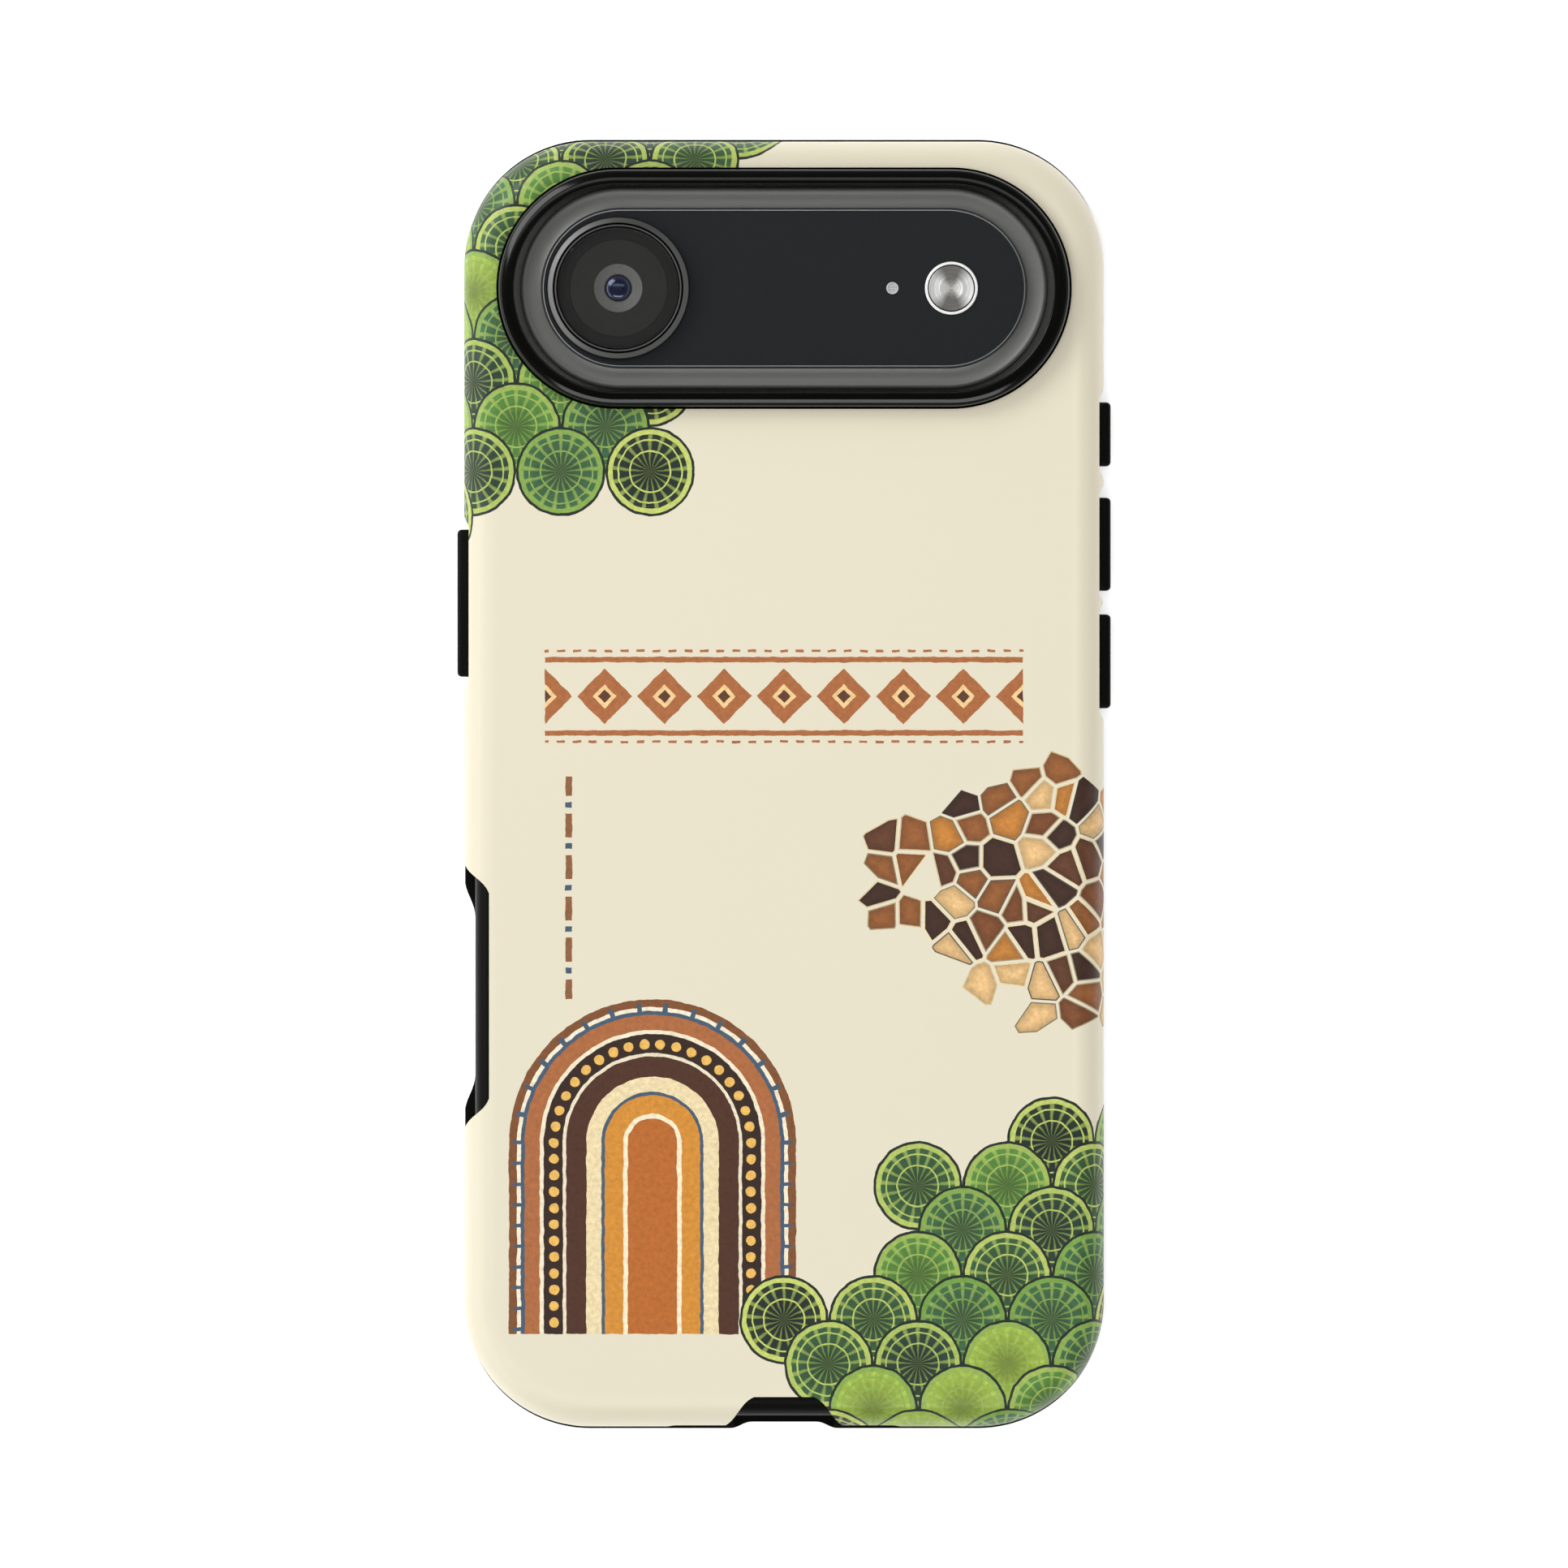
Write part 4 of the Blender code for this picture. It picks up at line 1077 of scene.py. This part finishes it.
def blackened_barrel():
    """Black polycarbonate, moulded with a fine anti-glare step, and a bare grey cone in its middle."""
    made, put, place = blank_material("lens barrel blackened")
    radius = put("VectorMath LENGTH", from_axis(put, place, LENS_X))
    share = put("Math DIVIDE", radius, GLASS_RADIUS)
    zones = put(
        "ValToRGB CONSTANT",
        share,
        stops=[
            (0.0, "#08080A"),
            (PUPIL_RADIUS / GLASS_RADIUS, "#868683"),
            (WELL_RADIUS / GLASS_RADIUS, "#393936"),
            (STEP_RADIUS / GLASS_RADIUS, "#272726"),
        ],
    )
    grain = put("TexNoise", place, 2.0, 2.0)
    worked = put("VectorMath SCALE", zones, put("MapRange", grain, 0.3, 0.7, 0.95, 1.05))
    put("OutputMaterial", put("BsdfPrincipled", worked, 0.0, 0.5, 1.58))
    return made


def coated_element():
    """Lens glass, polished and vacuum coated. The coating gives a dark blue depth, and turns what it
    reflects pale blue."""
    made, put, place = blank_material("lens element coated")
    radius = put("VectorMath LENGTH", from_axis(put, place, LENS_X))
    share = put("Math DIVIDE", radius, PUPIL_RADIUS)
    depth = put(
        "ValToRGB",
        share,
        stops=[(0.0, "#2E3450"), (0.5, "#232A48"), (0.85, "#403C5C"), (1.0, "#1E1E2C")],
    )
    coating = {"Specular IOR Level": 1.0, "Specular Tint": "#C8DAFA"}
    put("OutputMaterial", put("BsdfPrincipled", depth, 0.0, 0.12, 1.95, **coating))
    return made


def spun_reflector():
    """Aluminium, spun over a former. A painted reflection makes it bright left and right and darker
    between, as its rings would throw light to two sides; near its middle it fades to an even light grey."""
    made, put, place = blank_material("flash reflector spun")
    from_middle = from_axis(put, place, FLASH_X)
    radius = put("VectorMath LENGTH", from_middle)
    x, y, _ = put("SeparateXYZ", from_middle).outputs
    turn = put("Math ARCTAN2", y, x)
    # Painted reflection: a bow-tie, bright left and right and darker between, set by the turn round the
    # middle
    painted_bow_tie = put("Math COSINE", put("Math MULTIPLY", turn, 2.0))
    tone = put("MapRange", painted_bow_tie, -0.7, 0.6, 0.0, 1.0)
    # Real spinning lines are 0.05 mm apart. They are drawn four times as coarse, to show.
    marks = put("TexNoise", put("CombineXYZ", radius), 5.0, 2.0)
    lit = put("Mix RGBA", tone, "#807E7B", "#FBFBF9")
    near_middle = put("MapRange", radius, 0.3, 1.2, 0.7, 0.0)
    centred = put("Mix RGBA", near_middle, lit, "#CFCBC2")
    line = put("MapRange", marks, 0.35, 0.65, 0.0, 0.3)
    worked = put("Mix RGBA", line, centred, "#55534F")
    bump = put("Bump", 0.3, 0.02 * MM, 1.0, marks)
    put("OutputMaterial", put("BsdfPrincipled", worked, 0.7, 0.5, Normal=bump))
    return made


def polished_rim():
    """Steel, turned and polished to a bright white ring, with a slight waviness in its shine."""
    made, put, place = blank_material("flash rim steel polished")
    waves = put("TexNoise", place, 2.0, 2.0)
    tone, roughness = varied(put, waves, ("#F2F2F0", "#FDFDFC"), (0.45, 0.6))
    put("OutputMaterial", put("BsdfPrincipled", tone, 0.4, roughness))
    return made


def woven_mesh():
    """Steel mesh behind a turned ring. Its wires are 0.1 mm apart and are drawn at 0.22 mm, to show."""
    made, put, place = blank_material("microphone mesh steel woven")
    radius = put("VectorMath LENGTH", from_axis(put, place, MICROPHONE_X))
    cells = put("TexVoronoi", place, voronoi_dimensions="2D", Scale=1 / 0.22, Randomness=0.0)
    hole = put("MapRange", cells, 0.25, 0.4, 1.0, 0.0)
    sunk = put("Math LESS_THAN", radius, MESH_RADIUS)
    dark = put("Math MULTIPLY", hole, sunk)
    tone = put("Mix RGBA", dark, "#E4E4E3", "#86868A")
    put("OutputMaterial", put("BsdfPrincipled", tone, 0.7, 0.6))
    return made


def blasted_frame():
    """Titanium, milled and bead blasted. The blast leaves a soft, faintly speckled grey."""
    made, put, place = blank_material("titanium bead blasted")
    blast = put("TexNoise", place, 7.0, 2.0, 0.7)
    tone, roughness = varied(put, blast, ("#8E8D8A", "#A3A29F"), (0.32, 0.44))
    bump = put("Bump", 0.2, 0.01 * MM, 1.0, blast)
    put("OutputMaterial", put("BsdfPrincipled", tone, 1.0, roughness, Normal=bump))
    return made


def sapphire_control():
    """Sapphire over a dark backing, polished, with a faint cloud in its shine from touch."""
    made, put, place = blank_material("control sapphire polished")
    touch = put("TexNoise", place, 0.5, 3.0)
    tone, roughness = varied(put, touch, ("#3A3A3C", "#48484B"), (0.06, 0.16))
    put("OutputMaterial", put("BsdfPrincipled", tone, 0.0, roughness, 1.77))
    return made


def polished_screen():
    """Glass, polished over a black display. The border ink is a shade blacker than the display."""
    made, put, place = blank_material("screen glass polished")
    x, y, _ = put("SeparateXYZ", place).outputs
    border = 2.0
    side = put("Math LESS_THAN", put("Math ABSOLUTE", x), PHONE_HIGH.x - border)
    end = put("Math LESS_THAN", put("Math ABSOLUTE", y), PHONE_HIGH.y - border)
    display = put("Math MULTIPLY", side, end)
    tone = put("Mix RGBA", display, "#050506", "#0E0F12")
    smear = put("TexNoise", place, 0.08, 3.0)
    roughness = put("MapRange", smear, 0.3, 0.7, 0.03, 0.08)
    put("OutputMaterial", put("BsdfPrincipled", tone, 0.0, roughness, 1.52))
    return made


def white_table():
    """Opal acrylic, cast and matt, lit a little from below as on a light table, which thins shadows."""
    made, put, place = blank_material("table opal acrylic cast")
    mottle = put("TexNoise", place, 0.02, 2.0)
    tone = put("Mix RGBA", mottle, "#FAFAFA", "#FCFCFC")
    glow = {"Emission Color": "#FFFFFF", "Emission Strength": 0.55}
    put("OutputMaterial", put("BsdfPrincipled", tone, 0.0, 0.8, 1.49, **glow))
    return made


def dress_cad_node(node, made_of):
    """Gives a CAD node that keeps its shape a better material on all its slots."""
    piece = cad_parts[node]
    for slot in piece.material_slots:
        slot.material = made_of


# Camera: the photo's frame is this wide in millimetres at the case's back
VIEW_WIDTH = 196.7
CAMERA_HEIGHT = 6000.0
SENSOR = 36.0


def place_camera():
    """A camera straight above the case, far off, as the photo's flat view asks."""
    data = bpy.data.cameras.new("camera")
    data.sensor_width = SENSOR
    data.lens = SENSOR * (CAMERA_HEIGHT - CASE_BACK) / VIEW_WIDTH
    data.clip_end = 20.0
    camera = bpy.data.objects.new("camera", data)
    bpy.context.scene.collection.objects.link(camera)
    camera.location = in_metres(0.0, 0.0, CAMERA_HEIGHT)
    bpy.context.scene.camera = camera


# Soft boxes: direction they shine from in degrees (round from +X, up), distance, size, power, and
# whether they show in gloss
SOFT_BOXES = {
    "overhead": ((90.0, 90.0), 1300.0, (900.0, 900.0), 8.0, False),
    "key": ((136.0, 46.0), 900.0, (420.0, 420.0), 2.4, True),
    "front": ((-92.0, 60.0), 850.0, (600.0, 160.0), 1.0, True),
    "rear": ((90.0, 76.0), 1000.0, (700.0, 140.0), 0.4, True),
}


def place_soft_box(name, aim, distance, size, power, in_gloss):
    """A soft box that shines at the case from one direction. The one that doesn't show in gloss is
    polarised, as for a photograph of black rubber and glass from straight above."""
    data = bpy.data.lights.new(name, "AREA")
    data.shape = "RECTANGLE"
    data.size = size[0] * MM
    data.size_y = size[1] * MM
    data.energy = power
    light = bpy.data.objects.new(name, data)
    bpy.context.scene.collection.objects.link(light)
    turn, lift = (math.radians(angle) for angle in aim)
    direction = Vector(
        (math.cos(lift) * math.cos(turn), math.cos(lift) * math.sin(turn), math.sin(lift))
    )
    light.visible_camera = False
    light.visible_glossy = in_gloss
    light.location = direction * distance * MM
    light.rotation_euler = direction.to_track_quat("Z", "Y").to_euler()


def set_stage():
    """Plain white table, soft boxes, and a dim room with a bright screen on its left and a faint one on
    its right. It is dark overhead, where the camera is. The table is a hair lower than the case, so
    that they don't share a face."""
    bpy.ops.object.select_all(action="DESELECT")
    hair = 0.05
    bpy.ops.mesh.primitive_plane_add(size=4.0, location=in_metres(0.0, 0.0, -hair))
    table = bpy.context.object
    table.name = "table_top"
    table.data.materials.append(white_table())
    for name, settings in SOFT_BOXES.items():
        place_soft_box(name, *settings)
    world = bpy.data.worlds.new("room")
    bpy.context.scene.world = world
    world.use_nodes = True
    world.node_tree.nodes.clear()
    put = partial(add, world.node_tree)
    side, _, height = put("SeparateXYZ", put("TexCoord").outputs["Generated"]).outputs
    room = put("MapRange", height, 0.3, 0.9, 0.35, 0.03)
    left = put("MapRange", side, -0.4, -0.65, 0.0, 1.9)
    right = put("MapRange", side, 0.4, 0.65, 0.0, 0.35)
    screens = put("Math ADD", left, right)
    foot = put("MapRange", height, 0.34, 0.42, 0.0, 1.0)
    head = put("MapRange", height, 0.72, 0.62, 0.0, 1.0)
    band = put("Math MULTIPLY", foot, head)
    strength = put("Math MULTIPLY_ADD", screens, band, room)
    put("OutputWorld", put("Background", "#FFFFFF", strength))
    bpy.context.scene.view_settings.view_transform = "Standard"


def main():
    rubber = moulded_rubber("sparked", (0.36, 0.46), 0.1)
    rim_rubber = moulded_rubber("glossy", (0.1, 0.14), 0.4)
    back_glass = frosted_back_glass()
    make_shell(printed_polycarbonate())
    make_liner(rubber, rim_rubber)
    make_plateau(back_glass)
    make_camera_bar(dark_bar_glass())
    make_lens(turned_ring_metal(), polished_cover_glass(), blackened_barrel(), coated_element())
    make_flash(polished_rim(), spun_reflector())
    make_microphone(woven_mesh())
    dress_cad_node("phone_frame", blasted_frame())
    dress_cad_node("phone_control", sapphire_control())
    dress_cad_node("phone_screen", polished_screen())
    set_stage()
    place_camera()


main()
